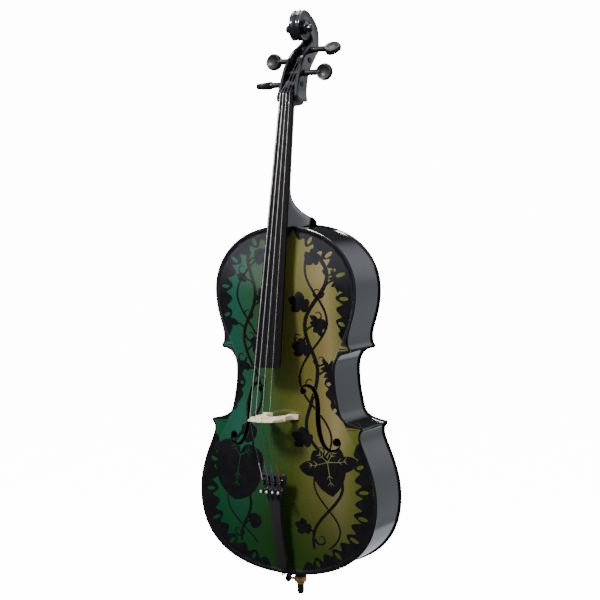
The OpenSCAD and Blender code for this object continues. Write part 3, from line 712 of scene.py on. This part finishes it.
def along_table(table, at):
    """A smooth curve through a table of places and values."""
    for i in range(len(table) - 1):
        if at <= table[i + 1][0] or i == len(table) - 2:
            (x0, y0), (x1, y1) = table[i], table[i + 1]
            before = table[i - 1] if i else (2 * x0 - x1, 2 * y0 - y1)
            after = table[i + 2] if i + 2 < len(table) else (2 * x1 - x0, 2 * y1 - y0)
            m0 = (y1 - before[1]) / (x1 - before[0]) * (x1 - x0)
            m1 = (after[1] - y0) / (after[0] - x0) * (x1 - x0)
            t = min(max((at - x0) / (x1 - x0), 0), 1)
            return ((2 * t ** 3 - 3 * t * t + 1) * y0 + (t ** 3 - 2 * t * t + t) * m0
                    + (3 * t * t - 2 * t ** 3) * y1 + (t ** 3 - t * t) * m1)
    return table[-1][1]


# stations down the pegbox: front point, back point (y, z), half-width, depth of the hollow as a share
PEGBOX = [((-36, 1077.5), (3, 1077), 27, 0), ((-37.5, 1084), (4.5, 1083), 27, 0),
          ((-39.5, 1090), (5.5, 1091), 25.2, 0), ((-37, 1098), (8, 1101), 23.8, 0.04),
          ((-34, 1106), (10.5, 1110), 23.4, 0.62), ((-31, 1115), (13, 1119), 23.1, 0.72),
          ((-24, 1131.5), (18.5, 1133), 22.6, 0.76), ((-16, 1148.5), (30, 1150), 22, 0.79),
          ((-6.5, 1164), (46, 1165), 20.2, 0.80), ((5, 1179.5), (64, 1180), 18, 0.78),
          ((18, 1190.5), (73, 1186), 16.4, 0.66), ((33, 1199), (78, 1188), 15, 0.5),
          ((44, 1206), (80.5, 1189.5), 14.4, 0.1)]


def carved_section(front, back, half_w, hollow, scoop):
    """A closed section across the pegbox or the scroll: fluted back, scooped sides, hollow front."""
    f, b = Vector((0, *front)), Vector((0, *back))
    reach = b - f
    length = reach.length
    e = reach / length
    flute = min(2.0, 0.14 * half_w)
    wall = min(6.8, 0.45 * half_w)
    ring = []
    steps = 16
    for i in range(steps + 1):
        x = half_w * (1 - 2 * i / steps)
        drop = flute * abs(math.sin(math.pi * x / half_w)) if 0 < i < steps else 1.1
        ring.append(f + e * (length - drop) + Vector((x, 0, 0)))
    for t in (0.94, 0.8, 0.6, 0.4, 0.2, 0.06):
        ring.append(f + e * (length * t) + Vector((-half_w + scoop * math.sin(math.pi * t), 0, 0)))
    depth = hollow * length
    for x, d in ((-half_w + 0.8, 0), (-half_w + wall, 0), (-half_w + wall + 0.6, depth * 0.9 + 0.01),
                 (-half_w + wall + 2.0, depth + 0.02), (half_w - wall - 2.0, depth + 0.02),
                 (half_w - wall - 0.6, depth * 0.9 + 0.01), (half_w - wall, 0), (half_w - 0.8, 0)):
        ring.append(f + e * d + Vector((x, 0, 0)))
    for t in (0.06, 0.2, 0.4, 0.6, 0.8, 0.94):
        ring.append(f + e * (length * t) + Vector((half_w - scoop * math.sin(math.pi * t), 0, 0)))
    return ring


def spiral_point(angle):
    r = along_table(SPIRAL, angle)
    a = math.radians(angle)
    return (EYE[0] + r * math.cos(a), EYE[1] + r * math.sin(a))


def volute_section(angle):
    outer = spiral_point(angle)
    inner_r = max(along_table(SPIRAL, angle + 360) - 1.5, 1.0) if angle < 700 else 1.0
    if angle < -14:
        inner_r = 23 + 17 * ease((-14 - angle) / 22)
    a = math.radians(angle)
    inner = (EYE[0] + inner_r * math.cos(a), EYE[1] + inner_r * math.sin(a))
    return carved_section(inner, outer, along_table(SCROLL_W, angle), 0.0, 1.4 * ease((angle + 38) / 60))


def pegbox_sections():
    fronts = smooth_path([(0, *p[0]) for p in PEGBOX], 5)
    backs = smooth_path([(0, *p[1]) for p in PEGBOX], 5)
    sizes = smooth_path([(p[2], p[3], 0) for p in PEGBOX], 5)
    return [carved_section((f.y, f.z), (b.y, b.z), s.x, max(0.0, s.y), 0.0)
            for f, b, s in zip(fronts, backs, sizes)]


PEG_AT = [(-14, 1114.5), (28, 1168.5), (46.5, 1193), (3, 1139.5)]
PEG_SIDE = [-1, -1, 1, 1]
PEG_R = 6.45


def neck_and_scroll():
    shaft_z = [HEEL_Z - 31.5, HEEL_Z - 12, HEEL_Z] + [HEEL_Z + HEEL_LEN * (i / 22) ** 1.3 for i in range(1, 23)]
    shaft_z += [920, 950, 990, 1030, 1056, 1062, 1064, 1065, 1065.8, 1066.4, 1067, 1067.6, 1068.2, 1069, 1070,
                1071.5, 1073, 1075, 1078, 1082]
    lacquered("neck_shaft", loft("neck_shaft", [neck_section(z) for z in shaft_z]), crease=45)
    sections = pegbox_sections() + [volute_section(a) for a in range(-36, 721, 6)]
    head = lacquered("neck_scroll", loft("neck_scroll", sections), ["neck"])
    bore = [(-40, PEG_R + 0.05), (40, PEG_R + 0.05)]
    bores = [turned("bore", bore, (0, y, z), (1, 0, 0), 40) for y, z in PEG_AT]
    cut(head, bores)
    smoothed(head.data, 38)
    half_eye = [(27.6, 8.3), (29.8, 7.9), (31.2, 6.6), (31.7, 4.6)]
    eye = [(-x, r) for x, r in reversed(half_eye)] + half_eye
    lacquered("scroll_eye", turned("scroll_eye", eye, (0, *EYE), (1, 0, 0)), crease=40)


# ---------------------------------------------------------------- pegs
PEG_FACE = [8, 84, 40, 88]
HEAD_X = [69, 69, 67.5, 70]
HEAD_R = 18.5
WIND_X = [-8.5, -4.5, 4, 8.5]
STRING_R = [0.85, 0.65, 0.5, 0.36]
PEGBOX_W = [(1070, 27), (1084, 27), (1092, 24), (1148, 22), (1180, 18), (1205, 14), (1260, 13)]


def cheek_at(z):
    for (z0, w0), (z1, w1) in zip(PEGBOX_W, PEGBOX_W[1:]):
        if z <= z1:
            return w0 + (w1 - w0) * (z - z0) / (z1 - z0)
    return PEGBOX_W[-1][1]


def peg_head(centre, frame_axes):
    """A round thumb piece, dished on both faces."""
    out, up, thick = frame_axes
    rings = []
    profile = [(0.02, 3.4), (0.25, 3.6), (0.5, 4.6), (0.70, 6.2), (0.80, 6.9), (0.87, 6.9), (0.93, 6.0),
               (0.98, 3.8), (1.0, 1.6)]
    for share, t in profile + [(r, -t) for r, t in reversed(profile)]:
        reach = HEAD_R * share
        rings.append([centre + out * (reach * math.cos(a)) + up * (reach * math.sin(a))
                      + thick * (t * (1 - 0.26 * share * math.cos(a))) for a in full_circle(64)])
    return loft("peg_head", rings)


def joined(name, meshes):
    work = bmesh.new()
    for mesh in meshes:
        work.from_mesh(mesh)
    mesh = bpy.data.meshes.new(name)
    work.to_mesh(mesh)
    work.free()
    return mesh


def pegs():
    for k, key in enumerate(KEYS):
        s = PEG_SIDE[k]
        y, z = PEG_AT[k]
        cheek = cheek_at(z - 10)
        a = math.radians(PEG_FACE[k])
        centre = Vector((s * HEAD_X[k], y, z))
        axes = [Vector((s, 0, 0)), Vector((0, math.cos(a), math.sin(a))),
                Vector((0, -math.sin(a), math.cos(a)))]
        far = cheek + 0.8
        base = HEAD_X[k] - 18
        profile = [(-far, PEG_R - 0.7), (-far + 0.7, PEG_R), (cheek + 0.4, PEG_R)]
        profile += [(cheek + x, r) for x, r in ((0.5, 7.1), (1.2, 7.5), (2.0, 7.2), (4, 6.5), (10, 6.1),
                                                (16, 6.1))]
        profile += [(base + x, r) for x, r in ((-1, 6.5), (3, 7.3), (6, 7.6), (9, 6.6), (12, 4.4), (15, 2.4))]
        body = turned("peg", profile, (0, y, z), (s, 0, 0), 56)
        mesh = joined(f"peg_{key}_turned", [body, peg_head(centre, axes)])
        to_scene(f"peg_{key}_turned", mesh, [EBONY], f"peg_{key}", [f"peg_{key}"], crease=42)
        turns = 7.0 / (2 * STRING_R[k] + 0.1)
        steps = int(turns * 20)
        radius = PEG_R + STRING_R[k] + 0.1
        path = [(WIND_X[k] + s * (3.4 - 6.8 * i / steps), y + radius * math.cos(2 * math.pi * i / 20),
                 z + radius * math.sin(2 * math.pi * i / 20)) for i in range(steps + 1)]
        to_scene(f"winding_{key}_turns", tube("winding", path, STRING_R[k], 8), [DARK_SILK], f"peg_{key}",
                 [f"winding_{key}"], crease=60)


# ---------------------------------------------------------------- strings
CROWN_R = 62.0
BRIDGE_Z, BRIDGE_Y = 405.5, -175.0
TAIL_Y, TAIL_Z, TAIL_TILT = -124.0, 283.5, math.radians(10.2)
TUNER_X = [-21, -7, 7, 21]
HOOK_Y = -3.6


def crown_y(x, y0):
    return y0 + CROWN_R - math.sqrt(CROWN_R ** 2 - x * x)


def from_tail(x, y, z):
    """A point given in the tailpiece's own frame: depth y below its front, z along it."""
    c, s = math.cos(TAIL_TILT), math.sin(TAIL_TILT)
    return Vector((x, TAIL_Y + y * c - z * s, TAIL_Z + y * s + z * c))


def nut_point(k):
    x = 22.5 * (k / 3 - 0.5)
    return Vector((x, crown_y(x, NUT_Y - 2.0) - 0.5 * STRING_R[k], NUT_Z + 2.9))


def bridge_point(k):
    x = 47 * (k / 3 - 0.5)
    return Vector((x, crown_y(x, BRIDGE_Y) - 0.45 * STRING_R[k], BRIDGE_Z))


def peg_point(k):
    n = nut_point(k)
    way = Vector((PEG_AT[k][0] - n.y, PEG_AT[k][1] - n.z))
    d = way.normalized()
    reach = PEG_R + 2.4 * STRING_R[k] + 0.1
    q = reach / way.length
    off = Vector((-d.y, d.x)) * reach * math.sqrt(1 - q * q) - d * reach * q
    return Vector((WIND_X[k], PEG_AT[k][0] + off.x, PEG_AT[k][1] + off.y))


def strings():
    for k, key in enumerate(KEYS):
        r = STRING_R[k]
        nut, bridge, peg = nut_point(k), bridge_point(k), peg_point(k)
        hook = from_tail(TUNER_X[k], HOOK_Y + 1.2, -10.8)
        drop = (hook - bridge).normalized()
        silk_top = hook - drop * 42
        path = [nut + Vector((0, -0.05, 0))] + [nut.lerp(bridge, share) for share in (0.003, 0.3, 0.6)]
        path += [bridge.lerp(nut, 0.003)]
        head = [peg, nut.lerp(peg, 0.5), nut.lerp(peg, 0.06), nut, nut.lerp(bridge, 0.0015)]
        to_scene(f"silk_{key}_head", tube("silk_head", head, r + 0.06), [DARK_SILK], "cello",
                 crease=60)
        path += [bridge + Vector((0, -0.1, 0)), bridge + drop * 2, silk_top]
        to_scene(f"string_{key}_wound", tube("string", path, r), [WOUND], "cello",
                 [f"string_{key}"], crease=60)
        ends = ["string_silks"] if k == 0 else []
        wrapped = tube("silk", [silk_top.lerp(hook, t / 12) for t in range(13)],
                       lambda t: r + 0.22 * min(1.0, 8 * t))
        to_scene(f"silk_{key}", wrapped, [SILKS[k]], "cello", ends, crease=60)
        ball = turned("ball", [(-2, 1.2), (-1.6, 1.9), (0, 2.2), (1.6, 1.9), (2, 1.2)],
                      from_tail(TUNER_X[k], HOOK_Y + 1.4, -16.2), (1, 0, 0), 24)
        to_scene(f"ball_end_{key}", ball, [GUNMETAL], f"tuner_lever_{key}", crease=40)


# ---------------------------------------------------------------- bridge, tailpiece, tuners, endpin
def fittings():
    eased_copy("fingerboard", "fingerboard_planed", 0.7, BOARD, "cello", crease=24)
    eased_copy("nut", "nut_shaped", 0.5, BOARD, "cello")
    eased_copy("saddle", "saddle_shaped", 0.5, EBONY, "cello", crease=50)
    eased_copy("bridge", "bridge_carved", 0.45, MAPLE, "cello")
    eased_copy("tailpiece", "tailpiece_moulded", 0.8, COMPOSITE, "cello")
    for key in KEYS:
        lever = f"tuner_lever_{key}"
        eased_copy(lever, f"lever_{key}_cast", 0.25, GUNMETAL, lever)
    for k, key in enumerate(KEYS):
        tuner_knob(k, key)
    for node, material, body, slot in (("endpin_plug", EBONY, "cello", "ebony"),
                                       ("endpin_collar", BRASS, "cello", "brass"),
                                       ("endpin_tip", RUBBER, "endpin_tip", "rubber"),
                                       ("endpin_screw_head", EBONY, "endpin_screw_head", "ebony")):
        eased_copy(node, node + "_turned", 0.3, material, body)
    tail_cord()


def tuner_knob(k, key):
    """A small knob with a ribbed edge and a bright cap."""
    base = from_tail(TUNER_X[k], -6.5, -33)
    axis = from_tail(0, -1, 0) - from_tail(0, 0, 0)
    side = axis.orthogonal().normalized()
    other = axis.cross(side)
    rings = []
    for along, radius, groove in ((0.0, 3.6, 0), (0.5, 4.4, 0.2), (1.2, 4.8, 0.4), (6.6, 4.8, 0.4),
                                  (7.4, 4.4, 0.2), (8.0, 3.4, 0)):
        reach = [radius - groove * (i % 4 == 0) for i in range(80)]
        rings.append([base + axis * along + r * (math.cos(a) * side + math.sin(a) * other)
                      for r, a in zip(reach, full_circle(80))])
    to_scene(f"knob_{key}_knurled", loft("knob", rings), [GUNMETAL], f"tuner_knob_{key}",
             [f"tuner_knob_{key}"], crease=30)
    cap = [(7.9, 2.9), (8.4, 2.9), (8.8, 2.3), (9.0, 1.0)]
    to_scene(f"knob_{key}_cap", turned("cap", cap, base, axis, 40), [NICKEL], f"tuner_knob_{key}",
             crease=40)


def tail_cord():
    """One loop: over the saddle on each side, and round the neck of the endpin's plug."""
    low = BODY_Z - 1.9
    legs = [[from_tail(s * 4, 11.6, -200), from_tail(s * 4.5, 11.6, -216),
             Vector((s * 7, -EDGE_Y - 7.2, BODY_Z + 5)), Vector((s * 7.6, -EDGE_Y - 6.2, BODY_Z + 0.6)),
             Vector((s * 8.2, -EDGE_Y - 3.4, low)), Vector((s * 10.8, -14, low))] for s in (-1, 1)]
    turn = [Vector((10.8 * math.cos(a), 10.8 * math.sin(a), low))
            for a in (math.pi * (1 - i / 10) for i in range(11))]
    path = legs[0] + turn + legs[1][::-1]
    to_scene("tail_cord_braid", tube("tail_cord", smooth_path(path, 4), 1.5), [BRAID], "cello",
             ["tail_cord"], crease=60)


def finish_cad_nodes():
    """Materials for the CAD nodes that show as they are."""
    looks = {"bare_spruce": SPRUCE, "bright_metal": CHROME, "rod_steel": STEEL, "brass": BRASS}
    for part in frame["record"]["subparts"]:
        material = looks.get(part["material_slot"])
        obj = frame["nodes"][part["node"]]
        if material and not obj.hide_render:
            obj.data.materials.clear()
            obj.data.materials.append(material)


# ---------------------------------------------------------------- the painting, drawn by rule
RIM = inset(OUTLINE, 1.7)


def on_plate(x, z):
    inside = False
    for (x0, z0), (x1, z1) in zip(RIM, RIM[1:] + RIM[:1]):
        if (z0 > z) != (z1 > z) and x < x0 + (z - z0) * (x1 - x0) / (z1 - z0):
            inside = not inside
    return inside


def held_in(x, z):
    """Moves a point that lies past the rim onto it."""
    if level(x, z) < 0.88 or on_plate(x, z):
        return x, z
    return min(RIM, key=lambda p: (p[0] - x) ** 2 + (p[1] - z) ** 2)


def draped(name, points, faces, material, lift):
    """A painted shape laid on the arching, left open where a sound hole is."""
    points = [held_in(x, z) for x, z in points]
    kept = []
    for face in faces:
        mx = sum(points[i][0] for i in face) / len(face)
        mz = sum(points[i][1] for i in face) / len(face)
        if not in_hole(mx, mz, 0.6) and len(set(points[i] for i in face)) == len(face):
            kept.append(face)
    mesh = new_mesh(name, [on_top(x, z, lift) for x, z in points], kept)
    work = bmesh.new()
    work.from_mesh(mesh)
    bmesh.ops.reverse_faces(work, faces=[f for f in work.faces if f.normal.y > 0])
    bmesh.ops.delete(work, geom=[f for f in work.faces if f.calc_area() < 1e-10], context="FACES")
    bmesh.ops.delete(work, geom=[v for v in work.verts if not v.link_faces], context="VERTS")
    work.to_mesh(mesh)
    work.free()
    to_scene(name, mesh, [material], "cello")
    smoothed(mesh)
    mesh.normals_split_custom_set([tuple(top_normal(v.co.x / MM, v.co.z / MM - BODY_Z))
                                   for v in (mesh.vertices[loop.vertex_index] for loop in mesh.loops)])


def grid_faces(rows, across):
    wide = across + 1
    return [(i * wide + j, i * wide + j + 1, (i + 1) * wide + j + 1, (i + 1) * wide + j)
            for i in range(rows) for j in range(across)]


def ribbon(path, width, across=2):
    """A band along a curve: width is a function of the share along it."""
    spine = smooth_path([(x, 0, z) for x, z in path], 10)
    points = []
    last = len(spine) - 1
    for i, p in enumerate(spine):
        a, b = spine[max(i - 1, 0)], spine[min(i + 1, last)]
        d = Vector((b.x - a.x, b.z - a.z)).normalized()
        w = width(i / last)
        for j in range(across + 1):
            o = w * (2 * j / across - 1)
            points.append((p.x + d.y * o, p.z - d.x * o))
    return points, grid_faces(last, across)


def leaf_edge(keys, per_side=9):
    """A leaf's outline: tips and notches in turn, joined by bowed curves."""
    out = []
    for (x0, z0, _), (x1, z1, bow) in zip(keys, keys[1:]):
        for i in range(per_side):
            t = i / per_side
            push = 4 * t * (1 - t) * bow
            out.append((x0 + (x1 - x0) * t + (z1 - z0) * push, z0 + (z1 - z0) * t - (x1 - x0) * push))
    return out


# right halves, from the stalk to the tip: x, z and the bow of the edge that ends there
IVY = [(0, -0.08, 0), (0.40, -0.44, 0.16), (0.56, -0.12, 0.12), (1.0, 0.04, 0.10), (0.56, 0.40, 0.16),
       (0.0, 1.12, 0.10)]
STAR = [(0, -0.08, 0), (0.34, -0.50, 0.08), (0.38, -0.14, 0.10), (0.95, -0.12, 0.08), (0.44, 0.20, 0.12),
        (0.62, 0.56, 0.06), (0.28, 0.48, 0.08), (0.0, 1.15, 0.10)]
HEART = [(0, -0.06, 0), (0.40, -0.30, 0.28), (0.70, 0.10, 0.22), (0.0, 1.10, 0.20)]
BUD = [(0, -0.15, 0), (0.26, 0.20, 0.24), (0.0, 1.0, 0.18)]
BLOSSOM = [(0, -0.5, 0), (0.26, -0.72, 0.3), (0.42, -0.30, 0.35), (0.16, -0.12, 0.1), (0.72, 0.06, 0.35),
           (0.46, 0.50, 0.35), (0.14, 0.20, 0.1), (0.20, 0.72, 0.35), (0.0, 0.86, 0.2)]


def leaf(kind, at, size, turn):
    """A leaf's points, its faces, and the paths of its veins."""
    half = leaf_edge(kind) + [(kind[-1][0], kind[-1][1])]
    edge = half + [(-x, z) for x, z in reversed(half[1:-1])]
    c, s = math.cos(math.radians(turn)), math.sin(math.radians(turn))

    def place(x, z):
        return (at[0] + size * (c * x - s * z), at[1] + size * (s * x + c * z))

    rings = 6
    count = len(edge)
    middle = 0.12
    points = [(0.0, middle)] + [(x * k / rings, middle + (z - middle) * k / rings)
                                for k in range(1, rings + 1) for x, z in edge]
    faces = [(0, 1 + i, 1 + (i + 1) % count) for i in range(count)]
    for k in range(rings - 1):
        for i in range(count):
            a, b = 1 + k * count + i, 1 + k * count + (i + 1) % count
            faces.append((a, b, b + count, a + count))
    tips = [(sign * x, z) for x, z, _ in kind[1::2] for sign in ((1, -1) if x else (1,))]
    veins = [[place(0, 0.0), place(x * 0.42, z * 0.5 + 0.03), place(x * 0.68, z * 0.72)] for x, z in tips]
    for x, z in tips:
        out = Vector((x, z)).normalized()
        for share in (0.36, 0.54):
            base = (x * share, z * share * 1.08)
            for lean in (0.11, -0.11):
                veins.append([place(*base), place(base[0] + 0.11 * out.x - lean * out.y,
                                                  base[1] + 0.11 * out.y + lean * out.x)])
    return [place(x, z) for x, z in points], faces, veins


class Painting:
    """Collects the painted shapes of one colour into one mesh."""

    def __init__(self):
        self.points, self.faces = [], []

    def add(self, points, faces):
        base = len(self.points)
        self.points += points
        self.faces += [tuple(base + i for i in face) for face in faces]


def curl(x, z, r0, r1, start, turns, clockwise):
    """A spiral from one radius to another, starting at an angle in degrees."""
    steps = int(turns * 10)
    sign = -1 if clockwise else 1
    out = []
    for i in range(steps + 1):
        r = r0 + (r1 - r0) * i / steps
        a = math.radians(start) + sign * 2 * math.pi * turns * i / steps
        out.append((x + r * math.cos(a), z + r * math.sin(a)))
    return out


RIM_HALF = RIM[:len(HALF)]
# for each bout: top and foot of its foliage, the foliage's depth, and the height that it reaches towards
BOUTS = [(752, 500, 46, 610), (472, 344, 24, 408), (300, 3, 50, 180)]
STEP = 4                          # millimetres between the points of a band of foliage
ROWS = 8
HOLE_Z, BIG_LEAF_Z = (300, 425), (140, 262)      # heights where the stems carry no small leaves


def width_at(z):
    """Half the plate's width at a height, smoothed over the corners."""
    return sum(min(RIM_HALF, key=lambda p: abs(p[1] - z - 12 * k))[0] for k in range(-4, 5)) / 9


def hedge(ink, light, side, bout, pitch):
    """Foliage along the rim: a band whose inner edge is a row of scallops, with a slit in every other one."""
    high, low, depth, centre = bout
    rim = [p for p in RIM_HALF if low <= p[1] <= high]
    walk = []
    for (x0, z0), (x1, z1) in zip(rim, rim[1:]):
        count = max(1, round(math.hypot(x1 - x0, z1 - z0) / STEP))
        walk += [(x0 + (x1 - x0) * n / count, z0 + (z1 - z0) * n / count) for n in range(count)]
    points, travelled, scallop = [], 0.0, 0
    for n, (x, z) in enumerate(walk):
        travelled += math.dist(walk[n - 1], (x, z)) if n else 0.0
        swell = math.sin(math.pi * (0.04 + 0.92 * n / (len(walk) - 1))) ** 0.5
        wide = depth * swell * (0.60 + 0.40 * abs(math.sin(math.pi * travelled / pitch)))
        reach = math.hypot(x, centre - z)
        toward = (-side * x / reach, (centre - z) / reach)
        points += [(side * x + toward[0] * wide * row / ROWS, z + toward[1] * wide * row / ROWS)
                   for row in range(ROWS + 1)]
        if travelled > (scallop + 0.5) * pitch:
            if scallop % 2:
                slit = [(side * x + toward[0] * wide * f, z + toward[1] * wide * f)
                        for f in (0.36, 0.58, 0.80)]
                light.add(*ribbon(slit, lambda t: 4.2 * math.sin(math.pi * (0.08 + 0.84 * t)) ** 0.6))
            scallop += 1
    quads = grid_faces(len(walk) - 1, ROWS)
    ink.add(points, quads if side > 0 else [q[::-1] for q in quads])


def stem(ink, path, w0, w1):
    ink.add(*ribbon(path, lambda t: w0 + (w1 - w0) * t))


def vine(ink, side, phase, w0, w1):
    """A stem that sways down one side of the plate at an even rhythm."""
    path = [(side * width_at(z) * (0.52 + 0.15 * math.sin(z / 36 + phase)), z) for z in range(700, 60, -12)]
    stem(ink, path, w0, w1)
    return path


def sprigs(ink, side, path, kinds):
    """Small leaves and curls on alternate sides of a stem."""
    for n, (x, z) in enumerate(path[2:-2:4]):
        if HOLE_Z[0] < z < HOLE_Z[1] or BIG_LEAF_Z[0] < z < BIG_LEAF_Z[1]:
            continue
        lean = side if n % 2 else -side
        stem(ink, [(x, z), (x + 12 * lean, z + 9), (x + 22 * lean, z + 11)], 2.4, 1.6)
        ink.add(*leaf(kinds[n % 4], (x + 24 * lean, z + 11), 24 + 3 * (n % 3), -70 * lean)[:2])
        spiral = curl(x - 15 * lean, z - 14, 14, 5, 0 if lean > 0 else 180, 0.9, lean > 0)
        ink.add(*ribbon(spiral, lambda t: 2.0 * (1.15 - t) + 0.3))


def vine_painting():
    """One rule draws both sides: only the rhythm, the big leaf and the order of the leaves change."""
    ink, light, veins = Painting(), Painting(), Painting()
    last = len(OUTLINE)
    ring = [p for pair in zip(RIM, inset(OUTLINE, 4.6)) for p in pair]
    ink.add(ring, [(2 * i, 2 * i + 1, (2 * i + 3) % (2 * last), (2 * i + 2) % (2 * last))
                   for i in range(last)])
    for side, pitch, phase, kinds, big, size in ((-1, 37, 0.4, (HEART, BUD, IVY, BUD), HEART, 92),
                                                 (1, 31, 2.1, (BLOSSOM, STAR, BLOSSOM, IVY), IVY, 66)):
        for bout in BOUTS:
            hedge(ink, light, side, bout, pitch)
        main = vine(ink, side, phase, 4.4, 3.0)
        vine(ink, side, phase + math.pi, 2.6, 1.8)
        sprigs(ink, side, main, kinds)
        points, faces, lines = leaf(big, (side * 108, 254), size, 180 + 9 * side)
        ink.add(points, faces)
        for line in lines:
            veins.add(*ribbon(line, lambda t: size * 0.011 * (1.3 - t)))
    draped("painted_vines", ink.points, ink.faces, INK, 0.16)
    draped("painted_openings", light.points, light.faces, GROUND, 0.26)
    draped("painted_veins", veins.points, veins.faces, VEIN, 0.30)


# ---------------------------------------------------------------- studio
def area_light(name, at, look_at, size, power):
    data = bpy.data.lights.new(name, "AREA")
    data.shape = "RECTANGLE"
    data.size = data.size_y = size
    data.energy = power
    obj = bpy.data.objects.new(name, data)
    obj.location = at
    obj.rotation_euler = (Vector(look_at) - Vector(at)).to_track_quat("-Z", "Y").to_euler()
    bpy.context.scene.collection.objects.link(obj)


AMBIENT = 0.03
# direction, cosine where the patch is full, cosine where it ends, strength
LOBES = [((0.44, 0.884, 0.05), 0.97, 0.75, 0.57), ((-0.40, -0.75, 0.50), 0.89, 0.79, 0.72),
         ((-0.70, -0.54, 0.44), 0.94, 0.86, 0.5), ((0.25, 0.85, 0.42), 0.98, 0.90, 0.3),
         ((-0.12, 0.86, -0.52), 0.955, 0.925, 0.8), ((0.2, -0.2, 1.0), 0.96, 0.62, 0.25),
         ((0.80, -0.55, 0.45), 0.95, 0.80, 0.5), ((0.97, 0.10, 0.10), 0.97, 0.80, 0.45),
         ((-0.85, 0.2, 0.5), 0.96, 0.80, 0.3)]


def lobe(n, direction, sharp, edge, strength):
    """A soft patch of light in the surroundings, round one direction."""
    axis = Vector(direction).normalized()
    dot = n.add("VectorMath", {0: n.coords, 1: tuple(axis)}, operation="DOT_PRODUCT").outputs["Value"]
    return n.add("MapRange", {"Value": dot, "From Min": edge, "From Max": sharp, "To Min": 0.0,
                              "To Max": strength}, interpolation_type="SMOOTHSTEP").outputs["Result"]


def studio():
    world = bpy.data.worlds.new("studio")
    world.use_nodes = True
    n = Nodes.__new__(Nodes)
    n.tree = world.node_tree
    n.coords = n.tree.nodes.new("ShaderNodeTexCoord").outputs["Generated"]
    total = AMBIENT
    for patch in LOBES:
        total = n.add("Math", {0: total, 1: lobe(n, *patch)}, operation="ADD").outputs[0]
    back = n.tree.nodes["Background"]
    back.inputs["Color"].default_value = (0.88, 0.93, 1.0, 1.0)
    n.tree.links.new(total, back.inputs["Strength"])
    bpy.context.scene.world = world
    backdrop()
    area_light("key", (-0.7, -2.4, 2.5), (0, 0, 0.6), 0.5, 140)
    area_light("fill", (1.9, -1.7, 2.3), (0, 0, 0.55), 1.0, 24)
    area_light("top", (-0.3, 0.5, 3.2), (-0.3, 0.5, 0), 1.8, 75)


FLAT_R, CURVE_R = 6500, 2500      # the floor's flat part, and the curve that takes it up to the walls
FLOOR_Z = -372.0                  # just under the endpin's tip when the rod is fully out


def backdrop():
    """Floor, walls and ceiling as one white shape that only the camera sees."""
    profile = [(1.0, 0), (FLAT_R, 0)]
    profile += [(FLAT_R + CURVE_R * math.sin(a), CURVE_R - CURVE_R * math.cos(a))
                for a in (math.pi / 2 * i / 16 for i in range(1, 17))]
    profile += [(9000, 5000), (8000, 8000), (5000, 10000), (1.0, 10800)]
    around = 96
    points = [(out * math.cos(a), out * math.sin(a), up + FLOOR_Z)
              for out, up in profile for a in full_circle(around)]
    mesh = new_mesh("floor", points, ring_faces(len(profile), around))
    smoothed(mesh)
    paper = Nodes("studio_paper")
    tone = paper.noise(paper.scaled(1, 1, 1), 2.0, 2.0)
    paper.set(Base_Color=paper.ramp(tone, [(0.3, (0.90, 0.90, 0.90)), (0.7, (0.92, 0.92, 0.92))]),
              Roughness=1.0, Specular_IOR_Level=0.0, Emission_Color=(1, 1, 1, 1), Emission_Strength=14.0)
    mesh.materials.append(paper.mat)
    floor = bpy.data.objects.new("floor", mesh)
    bpy.context.scene.collection.objects.link(floor)
    floor.visible_glossy = False
    floor.visible_diffuse = False
    floor.visible_shadow = False


def camera():
    az, el, roll = math.radians(29.05), math.radians(3.77), math.radians(-0.59)
    distance = 3.2757
    target = Vector((0.0055, 0, 0.6493))
    back = Vector((math.sin(az) * math.cos(el), -math.cos(az) * math.cos(el), math.sin(el)))
    right = Vector((math.cos(az), math.sin(az), 0))
    up = back.cross(right)
    r = right * math.cos(roll) + up * math.sin(roll)
    u = up * math.cos(roll) - right * math.sin(roll)
    data = bpy.data.cameras.new("camera")
    data.lens = 90.28
    data.sensor_width = 36.0
    data.clip_end = 60.0
    obj = bpy.data.objects.new("camera", data)
    place = target + back * distance
    obj.matrix_world = Matrix(((r.x, u.x, back.x, place.x), (r.y, u.y, back.y, place.y),
                               (r.z, u.z, back.z, place.z), (0, 0, 0, 1)))
    bpy.context.scene.collection.objects.link(obj)
    bpy.context.scene.camera = obj


camera()
studio()
plates()
ribs()
neck_and_scroll()
pegs()
strings()
fittings()
vine_painting()
finish_cad_nodes()
